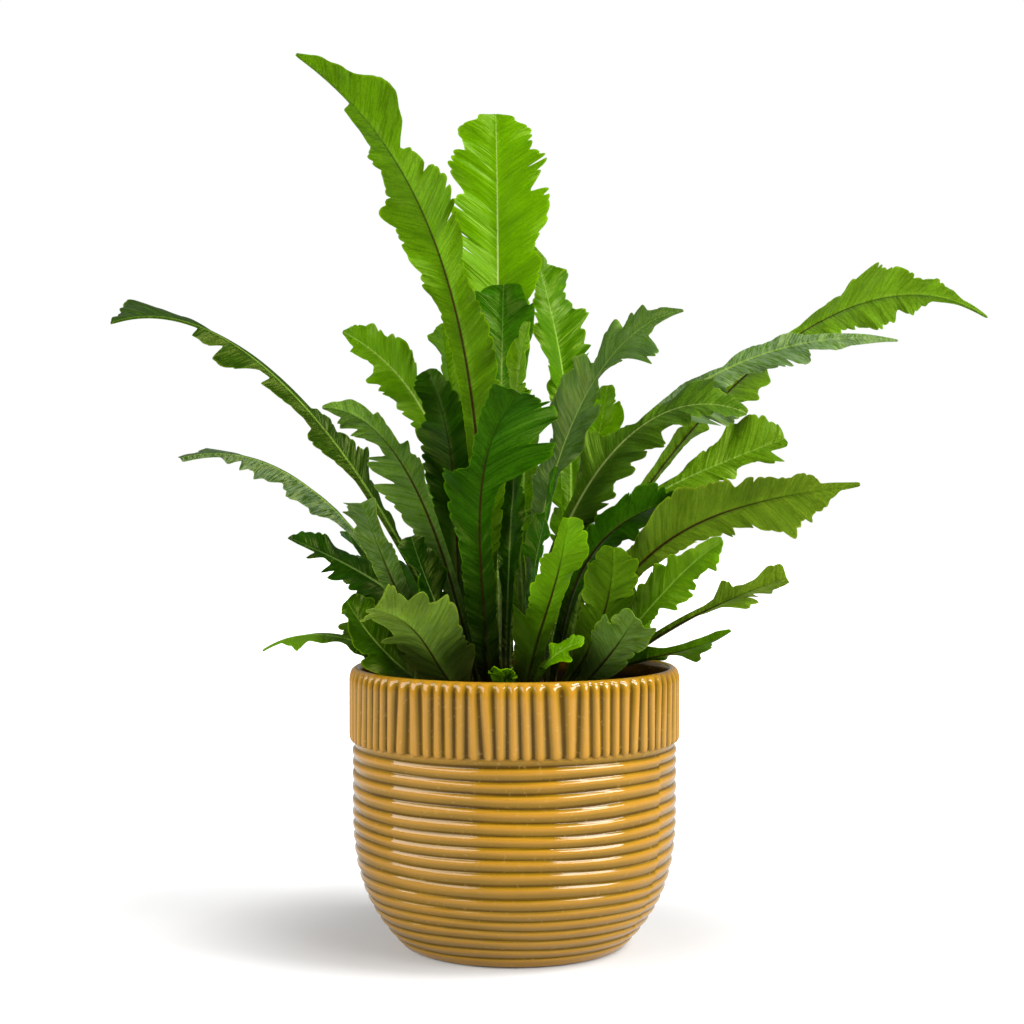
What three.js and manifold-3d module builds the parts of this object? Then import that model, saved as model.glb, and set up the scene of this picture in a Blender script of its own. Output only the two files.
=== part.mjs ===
// A potted bird's nest fern with lobed, wavy fronds, in a ribbed glazed cover pot.
// Millimetres, +Z up, +X to the right and -Y to the front. The origin is the middle of the pot's foot.
import * as THREE from "three";
import { mergeVertices } from "three/addons/utils/BufferGeometryUtils.js";
import Module from "manifold-3d";

const wasm = await Module();
wasm.setup();

// The pot
const POT_HEIGHT = 126;
const FOOT_RADIUS = 50;
const FOOT_CHAMFER = 1.2;
const BELLY_RADIUS = 73.6;
const BELLY_CURVE_HEIGHT = 70; // the wall is upright above this
const BELLY_CURVE_POWER = 3.1;
const RING_PITCH = 5.6; // along the wall
const RING_DEPTH = 1.5;
const COLLAR_BOTTOM = 93;
const COLLAR_RIBS = 80;
const COLLAR_RIB_RADIUS = 75;
const COLLAR_GROOVE_RADIUS = 73.3;
const LIP_OUTER_RADIUS = 74.2;
const LIP_INNER_RADIUS = 69.6;
const LIP_HEIGHT = 3.2;
const LIP_ROUND = 2;
const WALL = 5;
const POT_FLOOR = 7;
const FLOOR_FILLET = 6;
const INNER_HEIGHTS = [24, 38, 60]; // where the inside of the wall changes slope
const POT_SIDES = 26;

// What fills the pot
const SEAT_GAP = 0.3; // between pieces that rest on each other
const SOIL_TOP = 106;
const SOIL_EDGE = 3; // how far the soil's flat top stops short of the wall
const CROWN_TOP = 113;
const CROWN_RADIUS = 32;
const CROWN_SIDES = 18;
const HOLE_RADIUS = 3.1; // to the corners
const HOLE_SIDES = 4;
const HOLE_LENGTH = 14;

// The fronds
const ROOT_HEIGHT = 108.6; // where a stalk ends, in its hole in the crown
const STALK_HALF_WIDTH = 1.4;
const BARE_STALK = 9; // the length of stalk that has no green edge, in its hole in the crown
const WING_HALF_WIDTH = 3; // the green edges of the stalk above that
const WING_GROWTH = 0.16; // the share of the frond's length over which those edges grow
const WING_FADE = 0.8; // the share of the length where they start to narrow again, to half
const TIP_HALF_WIDTH = 0.9;
const BLADE_THICKNESS = 0.8;
const KEEL_DEPTH = 1.4; // how far the midrib stands out below the blade at the root
const VEIN_ANGLE = 58; // between a vein and the midrib at the root, in degrees
const VEIN_ANGLE_LOSS = 12; // the veins lean further forward towards the tip
const LAST_ROW = 0.975; // the share of the length where the last pair of veins starts
const LOBE_LENGTH = 18; // along the midrib
const ROWS_A_LOBE = 3; // one at the cut behind the lobe and two across its end
const LOBE_BACK = 0.84; // the least reach of a lobe's end at its back and its front, as a share of full
const LOBE_FRONT = 0.88;
const LOBE_UNEVENNESS = 0.28; // how much further than that the largest lobe reaches
const LOBE_SPREAD = 0.42; // how far the lobe's end is spread over the cuts beside it, in rows
const LIFT = 0.8; // how far the margin rises and sinks, as a share of the frond's wave
const LIFT_BEATS = 3.3; // waves of the margin along the frond
const ROW_JITTER = 0.4; // how unevenly the rows are spaced, in rows
const SWAY_BEATS = 1.6; // times that the blade turns to and fro along the frond
const FOLD_SWAY = 10; // how far each half rises and sinks along the frond, in degrees
const FOLD_BEATS = 1.9;
const FIRST_ROW = 0.7; // how far the first row stands along the way to the blade's start
const FIRST_GAP = 0.04; // the least share of the frond's length between it and the bare stalk
const ROW_LENGTH = 13.5; // between the rows of a frond with its own outline
const FULL_REACH = 10; // a blade that reaches this far past its stalk's edges waves in full
const ROUTE_STEPS = 80;

// The greens of the fronds
const TONES = { bright: 0x619a0a, mid: 0x56810b, dark: 0x2e5302, sage: 0x4b701d, olive: 0x677a20 };

// A frond starts at its root on the crown, bends towards the points low and high, and ends at its tip.
const PLAIN_FROND = {
  tone: "mid",
  turn: [0, 0], // how far the blade is turned about the midrib at the root and at the tip, in degrees
  sway: 8, // how far it turns to and fro between them
  halfWidth: 16,
  starts: 0.25, // where along the midrib the blade begins
  widest: 0.65,
  ends: 1, // where it ends, with a narrow tail past that
  blunt: 2, // 1 for a long point, 4 for a round tip
  cut: 0.4, // how deep the lobes are cut, as a share of the half width
  wave: 3, // how far the margin waves up and down
  fold: 14, // how far each half of the blade rises from flat, in degrees
};
// Some have an outline of their own for each side in place of halfWidth, starts, widest, ends and blunt.
// It goes through points that give the share of the length where a vein starts and how far it reaches.
const FRONDS = [
  // The tall ones in the middle
  {
    name: "tall_left", root: [-14, -4], low: [-13, -15, 207], high: [-10, -34, 336], tip: [-93, -52, 392],
    turn: [75, 50], cut: 0.3, wave: 4,
    left: [[0.2, 4], [0.45, 5], [0.57, 7], [0.6, 12], [0.615, 11], [0.635, 14], [0.68, 14.5], [0.7, 19],
      [0.735, 12], [0.77, 9.5], [0.8, 11], [0.82, 7], [0.885, 5.5], [0.9, 1], [1, 1]],
    right: [[0.2, 8], [0.35, 13], [0.5, 14], [0.6, 9.5], [0.65, 15], [0.7, 19], [0.73, 16],
      [0.75, 11.5], [0.78, 9.5], [0.8, 5], [0.81, 13], [0.83, 18.5], [0.855, 17], [0.9, 11], [0.95, 6],
      [1, 1]],
  },
  {
    name: "top_centre", root: [-5, 10], low: [-10, 18, 197], high: [-6, 34, 289], tip: [-9, 48, 385],
    tone: "bright", cut: 0.3, wave: 3,
    left: [[0.3, 3], [0.5, 7], [0.6, 14], [0.68, 22], [0.72, 18], [0.76, 25], [0.8, 25], [0.82, 17],
      [0.86, 24], [0.9, 17], [0.93, 18], [0.97, 10], [1, 2]],
    right: [[0.3, 3], [0.5, 7], [0.6, 16], [0.68, 22], [0.78, 23], [0.82, 17], [0.85, 24], [0.88, 21],
      [0.9, 16], [0.93, 18.5], [0.97, 10], [1, 2]],
  },
  {
    name: "right_back", root: [9, 9], low: [34, 16, 176], high: [31, 44, 253], tip: [9, 64, 324],
    tone: "bright", turn: [10, 30], cut: 0.3, wave: 3,
    left: [[0.3, 3], [0.5, 6], [0.6, 8], [0.69, 9], [0.71, 16.2], [0.725, 14], [0.762, 14.5],
      [0.775, 19.6], [0.81, 13.7], [0.818, 15.5], [0.85, 13], [0.879, 15.4], [0.908, 10.1], [0.94, 5.4],
      [1, 1.5]],
    right: [[0.3, 3], [0.5, 6], [0.62, 10.6], [0.67, 12.5], [0.68, 10], [0.705, 17], [0.715, 12.3],
      [0.74, 16.5], [0.775, 15.4], [0.83, 8.3], [0.9, 5], [0.95, 3], [1, 1.5]],
  },
  {
    name: "centre_smooth", root: [0, 4], low: [-7, 8, 171], high: [-7, 14, 235], tip: [-5, 20, 301],
    tone: "dark", turn: [5, -5], halfWidth: 13, starts: 0.35, widest: 0.85, blunt: 4, cut: 0.1, wave: 1,
  },
  {
    name: "centre_edge", root: [4, -3], low: [8.5, -2, 165], high: [-8, -4, 227], tip: [6, -4, 282],
    tone: "bright", turn: [70, 75], halfWidth: 7, starts: 0.4, widest: 0.7, blunt: 3, cut: 0.2, wave: 1,
  },
  {
    name: "centre_front", root: [-11, -17], low: [-11, -30, 149], high: [-27, -52, 219], tip: [2, -74, 247],
    tone: "dark", turn: [0, 10], cut: 0.2, wave: 5,
    left: [[0.1, 5], [0.3, 7.5], [0.45, 9], [0.55, 13], [0.62, 16], [0.645, 17], [0.68, 12], [0.72, 7],
      [0.8, 8], [0.88, 9], [0.94, 10], [1, 4]],
    right: [[0.1, 5.5], [0.3, 7], [0.45, 8], [0.6, 8], [0.65, 9], [0.69, 30], [0.73, 30], [0.76, 19],
      [0.8, 32], [0.85, 29], [0.9, 19], [0.96, 11], [1, 4]],
  },
  {
    name: "stem_left", root: [-4, -8], low: [-3, -9, 160], high: [-2, -10, 200], tip: [2, -9, 232],
    tone: "dark", turn: [50, 60], halfWidth: 10, widest: 0.7, cut: 0.25, wave: 2,
  },
  {
    name: "stem_right", root: [1, -16], low: [4, -27, 150], high: [12, -38, 190], tip: [18, -44, 216],
    tone: "dark", turn: [60, 70], halfWidth: 9, widest: 0.7, cut: 0.25, wave: 2,
  },

  // The left side, from the top down
  {
    name: "left_behind", root: [-8, 7], low: [-16, 15, 175], high: [-28, 17, 240], tip: [-33, 18, 283],
    turn: [75, 70], cut: 0.2, wave: 2,
    left: [[0.3, 3], [0.6, 6], [0.8, 8], [0.845, 9], [0.88, 8.5], [0.92, 12.5], [0.935, 11.7],
      [0.96, 6.5], [1, 1.5]],
    right: [[0.3, 3], [0.6, 8], [0.9, 9], [1, 1.5]],
  },
  {
    name: "left_bright", root: [-8, 19], low: [-26, 28, 161], high: [-18, 43, 248], tip: [-83, 58, 282],
    tone: "bright", turn: [-80, -80], cut: 0.25, wave: 3,
    left: [[0.3, 3], [0.5, 6], [0.7, 8], [0.755, 8], [0.77, 12], [0.78, 11.6], [0.787, 14], [0.805, 15],
      [0.835, 14.5], [0.866, 10.4], [0.875, 12], [0.9, 11.8], [0.94, 7.8], [1, 1]],
    right: [[0.3, 3], [0.5, 5], [0.63, 7], [0.67, 8.5], [0.68, 7.5], [0.71, 11], [0.745, 9.1],
      [0.775, 11.6], [0.8, 10], [0.812, 12.6], [0.827, 12.5], [0.845, 7.8], [0.866, 5.5], [0.93, 7.1],
      [0.94, 4], [1, 1]],
  },
  {
    name: "left_dark", root: [-16, 5], low: [-35, 3, 157], high: [-17, -1, 214], tip: [-40, -4, 260],
    tone: "dark", turn: [80, 70], cut: 0.3, wave: 4,
    left: [[0.15, 3], [0.3, 8], [0.45, 14], [0.55, 10], [0.66, 14], [0.76, 16], [0.82, 9], [0.88, 8],
      [0.93, 9], [0.97, 6], [1, 2]],
    right: [[0.15, 3], [0.3, 8], [0.5, 13], [0.7, 14], [0.8, 12], [0.9, 9], [0.96, 6], [1, 2]],
  },
  {
    name: "left_long", root: [-20, -4], low: [-33, -14, 160], high: [-105, -33, 304], tip: [-173, -50, 278],
    tone: "sage", turn: [-75, -45], cut: 0.2, wave: 2, fold: -20,
    left: [[0.2, 2], [0.3, 5], [0.36, 6], [0.38, 4], [0.41, 8], [0.45, 15.5], [0.47, 11], [0.5, 10],
      [0.55, 8], [0.58, 6], [0.6, 3], [0.72, 3], [0.82, 1.5], [0.84, 6.5], [0.87, 14], [0.89, 21],
      [0.905, 24.5], [0.93, 16.5], [0.97, 7.5], [1, 0.8]],
    right: [[0.2, 2], [0.45, 2.5], [0.5, 5.5], [0.53, 8], [0.555, 7.5], [0.57, 4.5], [0.6, 4.5],
      [0.65, 5.5], [0.68, 7.5], [0.69, 2], [0.71, 2.5], [0.73, 9], [0.77, 10.5], [0.785, 3.5],
      [0.8, 7.5], [0.835, 6.5], [0.845, 1], [1, 0.8]],
  },
  {
    name: "left_sage", root: [-13, -11], low: [-23, -17, 136], high: [-38, -30, 243], tip: [-83, -44, 242],
    tone: "sage", turn: [70, 60], cut: 0.2, wave: 3,
    left: [[0.3, 3], [0.45, 6], [0.5, 9], [0.53, 11], [0.57, 13], [0.6, 17], [0.62, 19], [0.64, 8.5],
      [0.66, 12], [0.685, 17], [0.72, 14.5], [0.74, 5.5], [0.77, 5], [0.8, 8], [0.83, 11], [0.845, 6.5],
      [0.87, 11], [0.9, 9], [0.92, 4], [1, 0.9]],
    right: [[0.3, 3], [0.5, 3.5], [0.6, 4], [0.65, 7], [0.68, 8], [0.705, 6], [0.73, 8.5], [0.75, 4.5],
      [0.8, 5.5], [0.83, 7], [0.85, 4.8], [0.9, 6], [0.95, 3], [1, 0.9]],
  },
  {
    name: "left_middle", root: [-24, -10], low: [-45, -21, 156], high: [-85, -47, 235],
    tip: [-139, -74, 220], tone: "sage", turn: [-70, -40], cut: 0.2, wave: 2, fold: -20,
    left: [[0.25, 2.5], [0.4, 4], [0.55, 3.5], [0.6, 2], [0.66, 1], [0.74, 1.2], [0.84, 1.5], [0.88, 9],
      [0.92, 8], [0.97, 6], [1, 3]],
    right: [[0.25, 2.5], [0.5, 3], [0.55, 4], [0.6, 8], [0.65, 9.5], [0.68, 11], [0.7, 8], [0.72, 5],
      [0.75, 8], [0.78, 10], [0.8, 5.5], [0.83, 7], [0.845, 2], [0.87, 4], [0.9, 1.5], [1, 2]],
  },
  {
    name: "left_olive", root: [-20, -19], low: [-44, -28, 136], high: [-54, -43, 170], tip: [-65, -58, 201],
    tone: "olive", turn: [60, 40], cut: 0.2, wave: 3,
    left: [[0.2, 3], [0.5, 4], [0.7, 6], [0.77, 9], [0.8, 11], [0.84, 8.5], [0.88, 13.5], [0.92, 9],
      [0.96, 10], [1, 5]],
    right: [[0.2, 3], [0.4, 5], [0.6, 6], [0.75, 6], [0.82, 4.5], [0.9, 4.5], [0.96, 6], [1, 5]],
  },
  {
    name: "left_low_dark", root: [-27, 1], low: [-31, 3, 152], high: [-69, 7, 169], tip: [-104, 10, 184],
    tone: "dark", turn: [-70, -40], cut: 0.2, wave: 2, fold: 0,
    left: [[0.2, 3], [0.35, 6], [0.5, 12], [0.6, 10], [0.7, 8], [0.77, 7.5], [0.8, 10], [0.87, 8.5],
      [0.92, 7.5], [0.96, 4], [1, 0.8]],
    right: [[0.2, 3], [0.35, 8], [0.5, 14], [0.6, 11], [0.65, 9], [0.7, 10.5], [0.725, 9.5], [0.735, 5],
      [0.76, 9], [0.775, 3], [0.82, 2], [0.85, 7], [0.865, 1.5], [0.94, 1.5], [1, 0.8]],
  },
  {
    name: "shade_left", root: [-19, -13], low: [-25, -25, 136], high: [-38, -34, 160], tip: [-45, -35, 186],
    tone: "dark", turn: [-75, -75], cut: 0.2, wave: 2,
    left: [[0.2, 3], [0.4, 7], [0.6, 10], [0.8, 10], [0.92, 7], [1, 2]],
    right: [[0.2, 3], [0.35, 8], [0.5, 14], [0.58, 11], [0.7, 16], [0.78, 11], [0.88, 12], [0.95, 7],
      [1, 3]],
  },
  {
    name: "left_rim", root: [-28, -17], low: [-42, -24, 122], high: [-60, -30, 132], tip: [-73, -37, 158],
    turn: [-60, -60], halfWidth: 14.5, starts: 0.05, widest: 0.5, blunt: 3, cut: 0.35, wave: 2,
  },
  {
    name: "left_thin", root: [-30, -7], low: [-45, -15, 131], high: [-86, -30, 154], tip: [-109, -44, 137],
    tone: "bright", turn: [-30, -20], cut: 0.2, wave: 1, fold: -10,
    left: [[0.2, 3], [0.5, 3], [0.7, 3], [0.85, 1.5], [1, 0.8]],
    right: [[0.2, 4], [0.4, 9], [0.5, 8], [0.6, 4], [0.7, 7], [0.75, 5], [0.8, 10], [0.85, 5],
      [0.9, 1.5], [1, 0.8]],
  },
  {
    name: "front_left", root: [-14, -25], low: [-35, -34, 121], high: [-34, -52, 151], tip: [-59, -68, 157],
    tone: "olive", turn: [25, 20], cut: 0.2, wave: 3,
    left: [[0.08, 3], [0.25, 14], [0.4, 20], [0.46, 13], [0.52, 20], [0.6, 13], [0.68, 20], [0.76, 12],
      [0.83, 17], [0.92, 9], [1, 2]],
    right: [[0.08, 3], [0.3, 16], [0.5, 21], [0.6, 20], [0.65, 15], [0.74, 20], [0.84, 14], [0.92, 12],
      [1, 2]],
  },

  // The front, at the rim
  {
    name: "rim_sprout", root: [-4, -30], low: [-3, -36, 116], high: [-3, -47, 124], tip: [-6, -58, 130],
    tone: "bright", halfWidth: 6, starts: 0.2, widest: 0.7, blunt: 3, cut: 0.2, wave: 1,
  },
  {
    name: "front_young", root: [8, -29], low: [6, -36, 124], high: [16, -49, 138], tip: [29, -62, 142],
    tone: "bright", turn: [60, 60], halfWidth: 6, starts: 0.2, widest: 0.6, cut: 0.2, wave: 1,
  },
  {
    name: "front_right", root: [3, -23], low: [7, -35, 139], high: [20, -57, 168], tip: [22, -78, 195],
    tone: "bright", turn: [-10, -10], cut: 0.2, wave: 3,
    left: [[0.12, 6], [0.2, 8.5], [0.27, 12], [0.35, 14], [0.385, 13.5], [0.42, 9], [0.47, 9],
      [0.53, 10.5], [0.575, 10], [0.6, 8], [0.65, 7], [0.7, 8.5], [0.74, 8], [0.78, 4.5], [0.9, 3.5],
      [1, 2]],
    right: [[0.12, 4], [0.3, 5], [0.5, 7], [0.6, 9], [0.7, 9.5], [0.76, 11], [0.81, 11], [0.88, 8],
      [0.93, 7], [1, 2]],
  },
  {
    name: "front_glossy", root: [11, -21], low: [32, -29, 127], high: [43, -44, 155], tip: [42, -58, 182],
    turn: [-30, -40], halfWidth: 12, starts: 0.2, widest: 0.6, blunt: 3, cut: 0.3,
  },
  {
    name: "right_light", root: [17, -27], low: [32, -34, 121], high: [43, -46, 137], tip: [51, -66, 153],
    turn: [-40, -50], halfWidth: 13, starts: 0.2, widest: 0.6, cut: 0.35, wave: 2,
  },

  // The right side, from the bottom up
  {
    name: "right_rim", root: [25, -15], low: [46, -22, 140], high: [68, -35, 129], tip: [93, -48, 146],
    turn: [-30, -40], cut: 0.2, wave: 2,
    left: [[0.2, 4], [0.5, 5], [0.62, 3], [0.75, 3.5], [0.9, 3], [1, 0.9]],
    right: [[0.2, 4], [0.5, 9], [0.56, 8.5], [0.63, 11], [0.68, 10], [0.75, 6], [0.8, 6], [0.85, 2.5],
      [1, 0.9]],
  },
  {
    name: "right_stalk", root: [29, -5], low: [53, -11, 139], high: [86, -23, 156], tip: [119, -34, 168],
    tone: "olive", turn: [-50, -50], cut: 0.2, wave: 2,
    left: [[0.2, 2], [0.64, 2], [0.68, 3], [0.705, 10.5], [0.73, 9.5], [0.76, 5.5], [0.8, 5],
      [0.85, 4.7], [0.9, 8], [0.96, 7], [1, 4]],
    right: [[0.2, 2], [0.6, 1.5], [0.64, 3], [0.68, 4], [0.71, 12.5], [0.745, 15.5], [0.77, 7],
      [0.795, 11], [0.82, 4], [0.86, 8], [0.9, 5], [0.95, 4], [1, 3]],
  },
  {
    name: "right_low_bright", root: [17, -20], low: [48, -29, 134], high: [60, -45, 164],
    tip: [88, -60, 185], tone: "bright", turn: [60, 60], cut: 0.25, wave: 3,
    left: [[0.1, 3], [0.4, 8], [0.5, 11], [0.56, 14], [0.6, 8], [0.615, 15], [0.64, 9], [0.7, 12],
      [0.75, 12], [0.8, 16.5], [0.845, 14], [0.87, 19], [0.9, 14], [0.94, 6], [1, 2]],
    right: [[0.1, 3], [0.4, 12], [0.5, 13], [0.55, 12], [0.6, 16], [0.65, 14], [0.7, 11], [0.75, 9],
      [0.8, 6], [0.86, 5.5], [0.93, 4.5], [1, 2]],
  },
  {
    name: "right_large", root: [20, -13], low: [49, -24, 189], high: [77, -43, 199], tip: [146, -62, 209],
    tone: "olive", turn: [-60, -70], cut: 0.2, wave: 4, fold: -14,
    left: [[0.15, 3], [0.3, 5], [0.4, 9], [0.45, 15], [0.5, 18], [0.6, 16], [0.65, 15], [0.68, 10],
      [0.7, 14.5], [0.75, 13], [0.785, 10.5], [0.8, 8.5], [0.83, 10], [0.87, 7.5], [0.9, 3], [1, 1]],
    right: [[0.15, 3], [0.4, 4], [0.5, 7], [0.58, 9], [0.62, 13], [0.645, 9], [0.7, 12], [0.735, 14],
      [0.76, 18], [0.785, 16], [0.8, 12], [0.82, 13.5], [0.84, 10], [0.86, 9.5], [0.88, 8], [0.91, 4.5],
      [0.95, 1.5], [1, 1]],
  },
  {
    name: "right_folded", root: [15, -10], low: [23, -17, 156], high: [26, -29, 196], tip: [78, -38, 203],
    tone: "dark", turn: [-50, -50], halfWidth: 11, starts: 0.3, widest: 0.7, wave: 2,
  },
  {
    name: "right_hand", root: [25, 4], low: [25, 11, 195], high: [57, 24, 203], tip: [128, 36, 230],
    turn: [60, 60], cut: 0.2, wave: 4,
    left: [[0.3, 3], [0.5, 5], [0.6, 5], [0.66, 8], [0.7, 15], [0.725, 18], [0.75, 8], [0.79, 10],
      [0.82, 6], [0.86, 6], [0.89, 12], [0.915, 13], [0.93, 4], [0.97, 5], [1, 3]],
    right: [[0.3, 3], [0.6, 3], [0.68, 3.5], [0.71, 7], [0.75, 9], [0.785, 10], [0.81, 17], [0.86, 16],
      [0.9, 14], [0.94, 10], [0.965, 9], [1, 5]],
  },
  {
    name: "right_twisted", root: [10, -1], low: [-1, -12, 155], high: [42, -14, 267], tip: [103, -22, 240],
    tone: "sage", turn: [100, 40], cut: 0.2, wave: 3,
    left: [[0.1, 3], [0.3, 6], [0.42, 16], [0.46, 14], [0.5, 24], [0.53, 20], [0.57, 27], [0.6, 18],
      [0.63, 24], [0.67, 12], [0.7, 18], [0.74, 9], [0.79, 16], [0.84, 11], [0.9, 11], [0.95, 7],
      [1, 2]],
    right: [[0.1, 3], [0.4, 3], [0.5, 4], [0.55, 11], [0.6, 14], [0.64, 8], [0.68, 6], [0.72, 3.5],
      [0.75, 5], [0.79, 10], [0.82, 15], [0.86, 15], [0.88, 9], [0.92, 7], [0.96, 4], [1, 2]],
  },
  {
    name: "right_sage_long", root: [17, 6], low: [-8, 8, 201], high: [88, 24, 288], tip: [182, 40, 276.5],
    tone: "sage", turn: [70, 60], cut: 0.2, wave: 3, fold: 0,
    left: [[0.1, 3], [0.4, 4], [0.48, 8], [0.52, 7], [0.57, 24], [0.61, 23], [0.65, 8], [0.7, 6],
      [0.74, 12.5], [0.78, 13], [0.8, 11], [0.82, 5], [0.86, 6.5], [0.9, 4.5], [1, 0.8]],
    right: [[0.1, 3], [0.45, 2], [0.52, 3], [0.57, 3.5], [0.6, 4.5], [0.65, 3], [0.68, 2], [0.7, 5],
      [0.725, 6.5], [0.75, 5], [0.8, 6.5], [0.83, 4], [0.92, 2.5], [1, 0.8]],
  },
  {
    name: "right_long", root: [17, 14], low: [15.5, 29, 162], high: [140, 57, 347], tip: [235, 84, 291],
    turn: [-60, -60], cut: 0.2, wave: 3, fold: 5,
    left: [[0.2, 2.5], [0.35, 4], [0.42, 6.5], [0.5, 3.5], [0.6, 4], [0.67, 3.5], [0.69, 9.5],
      [0.73, 12], [0.745, 15.5], [0.757, 22], [0.77, 19], [0.785, 16], [0.83, 12.5], [0.85, 9],
      [0.88, 9], [0.91, 5.5], [0.95, 2], [1, 0.8]],
    right: [[0.2, 2.5], [0.35, 4], [0.42, 5], [0.455, 9], [0.47, 5], [0.5, 11], [0.53, 18.5],
      [0.55, 15], [0.57, 18], [0.6, 9], [0.65, 6], [0.7, 12], [0.76, 15.5], [0.81, 15.5], [0.83, 9.5],
      [0.85, 11], [0.88, 7], [0.9, 3], [0.95, 1.2], [1, 0.8]],
  },
  {
    name: "right_sage", root: [5, -10], low: [0, -19, 151], high: [18, -36, 276], tip: [72, -52, 283],
    tone: "sage", turn: [70, 60], cut: 0.2, wave: 4,
    left: [[0.12, 3], [0.4, 5], [0.525, 4], [0.54, 11], [0.59, 19], [0.61, 22], [0.64, 32], [0.655, 13],
      [0.675, 14], [0.69, 22], [0.735, 30], [0.75, 34], [0.765, 26], [0.78, 24], [0.805, 33],
      [0.817, 26], [0.835, 27], [0.86, 21], [0.885, 7], [0.92, 3.5], [1, 0.8]],
    right: [[0.12, 3], [0.4, 6], [0.55, 12], [0.66, 18], [0.735, 12.5], [0.75, 7], [0.765, 10.6],
      [0.775, 17], [0.79, 21], [0.806, 16], [0.85, 11.5], [0.885, 10], [0.92, 5], [1, 0.8]],
  },
  {
    name: "back_bright", root: [12, 17], low: [28, 28, 172], high: [40, 46, 226], tip: [45, 57, 256],
    tone: "bright", turn: [10, 20], halfWidth: 11, starts: 0.3, widest: 0.7, blunt: 3, cut: 0.35,
  },

  // The back
  {
    name: "back_left", root: [-21, 11], low: [-30, 22, 135], high: [-48, 40, 160], tip: [-84, 62, 184],
    tone: "dark", turn: [0, 10], halfWidth: 13,
  },
  {
    name: "back_left_mid", root: [-13, 20], low: [-18, 36, 170], high: [-41, 80, 218], tip: [-58, 122, 206],
    turn: [0, 10], halfWidth: 13,
  },
  {
    name: "back_mid", root: [-4, 24], low: [-5, 40, 175], high: [-6, 90, 232], tip: [-18, 142, 222],
    turn: [0, -10], halfWidth: 14, starts: 0.05, widest: 0.5,
  },
  {
    name: "back_upright", root: [4, 19], low: [2, 32, 185], high: [4, 70, 240], tip: [12, 112, 250],
    turn: [0, 10], halfWidth: 8, starts: 0, widest: 0.45,
  },
  {
    name: "back_right_mid", root: [14, 22], low: [20, 38, 172], high: [34, 80, 222], tip: [44, 118, 228],
    turn: [0, -10], halfWidth: 13,
  },
  {
    name: "back_right", root: [22, 12], low: [34, 22, 155], high: [74, 52, 196], tip: [112, 82, 190],
    turn: [0, 10],
  },
  {
    name: "back_low_left", root: [-24, 14], low: [-38, 22, 145], high: [-70, 44, 158], tip: [-80, 58, 132],
    halfWidth: 12, wave: 2,
  },
  {
    name: "back_low_mid", root: [3, 28], low: [6, 46, 145], high: [9, 80, 160], tip: [10, 112, 140],
    halfWidth: 12, wave: 2,
  },
  {
    name: "back_low_right", root: [25, 19], low: [38, 29, 145], high: [56, 50, 150], tip: [60, 72, 130],
    halfWidth: 12, wave: 2,
  },
].map((f, i) => ({ ...PLAIN_FROND, seed: i + 1, ...f }));

const smooth = (x) => {
  const t = Math.min(Math.max(x, 0), 1);
  return t * t * (3 - 2 * t);
};
const radians = (degrees) => (degrees * Math.PI) / 180;

// A repeatable number from 0 to 1 for each seed and index.
const draw = (seed, index) => {
  const v = Math.sin(seed * 12.9898 + index * 78.233) * 43758.5453;
  return v - Math.floor(v);
};

// The midrib: a curve from the root to the tip, walked by its length. Share is 0 at the root, 1 at the tip.
function midrib(f) {
  const curve = new THREE.CubicBezierCurve3(
    new THREE.Vector3(...f.root, ROOT_HEIGHT),
    new THREE.Vector3(...f.low),
    new THREE.Vector3(...f.high),
    new THREE.Vector3(...f.tip),
  );
  curve.arcLengthDivisions = ROUTE_STEPS;
  const length = curve.getLength();
  const across = new THREE.Vector3(f.root[1] - f.tip[1], f.tip[0] - f.root[0], 0).normalize();
  const frameAt = (share) => {
    const on = Math.min(share, 1);
    const tangent = curve.getTangentAt(on);
    const centre = curve.getPointAt(on).addScaledVector(tangent, (share - on) * length);
    const up = tangent.clone().cross(across).normalize();
    const side = up.clone().cross(tangent);
    const sway = f.sway * Math.sin(2 * Math.PI * (SWAY_BEATS * on + draw(f.seed, 60)));
    const angle = radians(f.turn[0] + (f.turn[1] - f.turn[0]) * on + sway);
    const normal = up.clone().multiplyScalar(Math.cos(angle)).addScaledVector(side, -Math.sin(angle));
    side.multiplyScalar(Math.cos(angle)).addScaledVector(up, Math.sin(angle));
    return { centre, tangent, normal, side };
  };
  return { length, frameAt };
}

// The blade's width before it is cut into lobes, from 0 where it starts to 1 where it is widest.
function envelope(f, share, start) {
  const rise = smooth((share - start) / (f.widest - start));
  const past = Math.min(Math.max(share - f.widest, 0) / (f.ends - f.widest), 1);
  return rise * (1 - past ** f.blunt);
}

// How far one side of the blade rises and folds, for how full its reach is
function waveOf(f, side, share, full, toss) {
  const beat = Math.sin(2 * Math.PI * (share * LIFT_BEATS + draw(f.seed, 90 + side)));
  const rise = Math.sin(2 * Math.PI * (share * FOLD_BEATS + draw(f.seed, 70 + side)));
  return { lift: LIFT * f.wave * full * (beat + toss - 0.5), fold: f.fold + FOLD_SWAY * rise };
}

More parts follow.
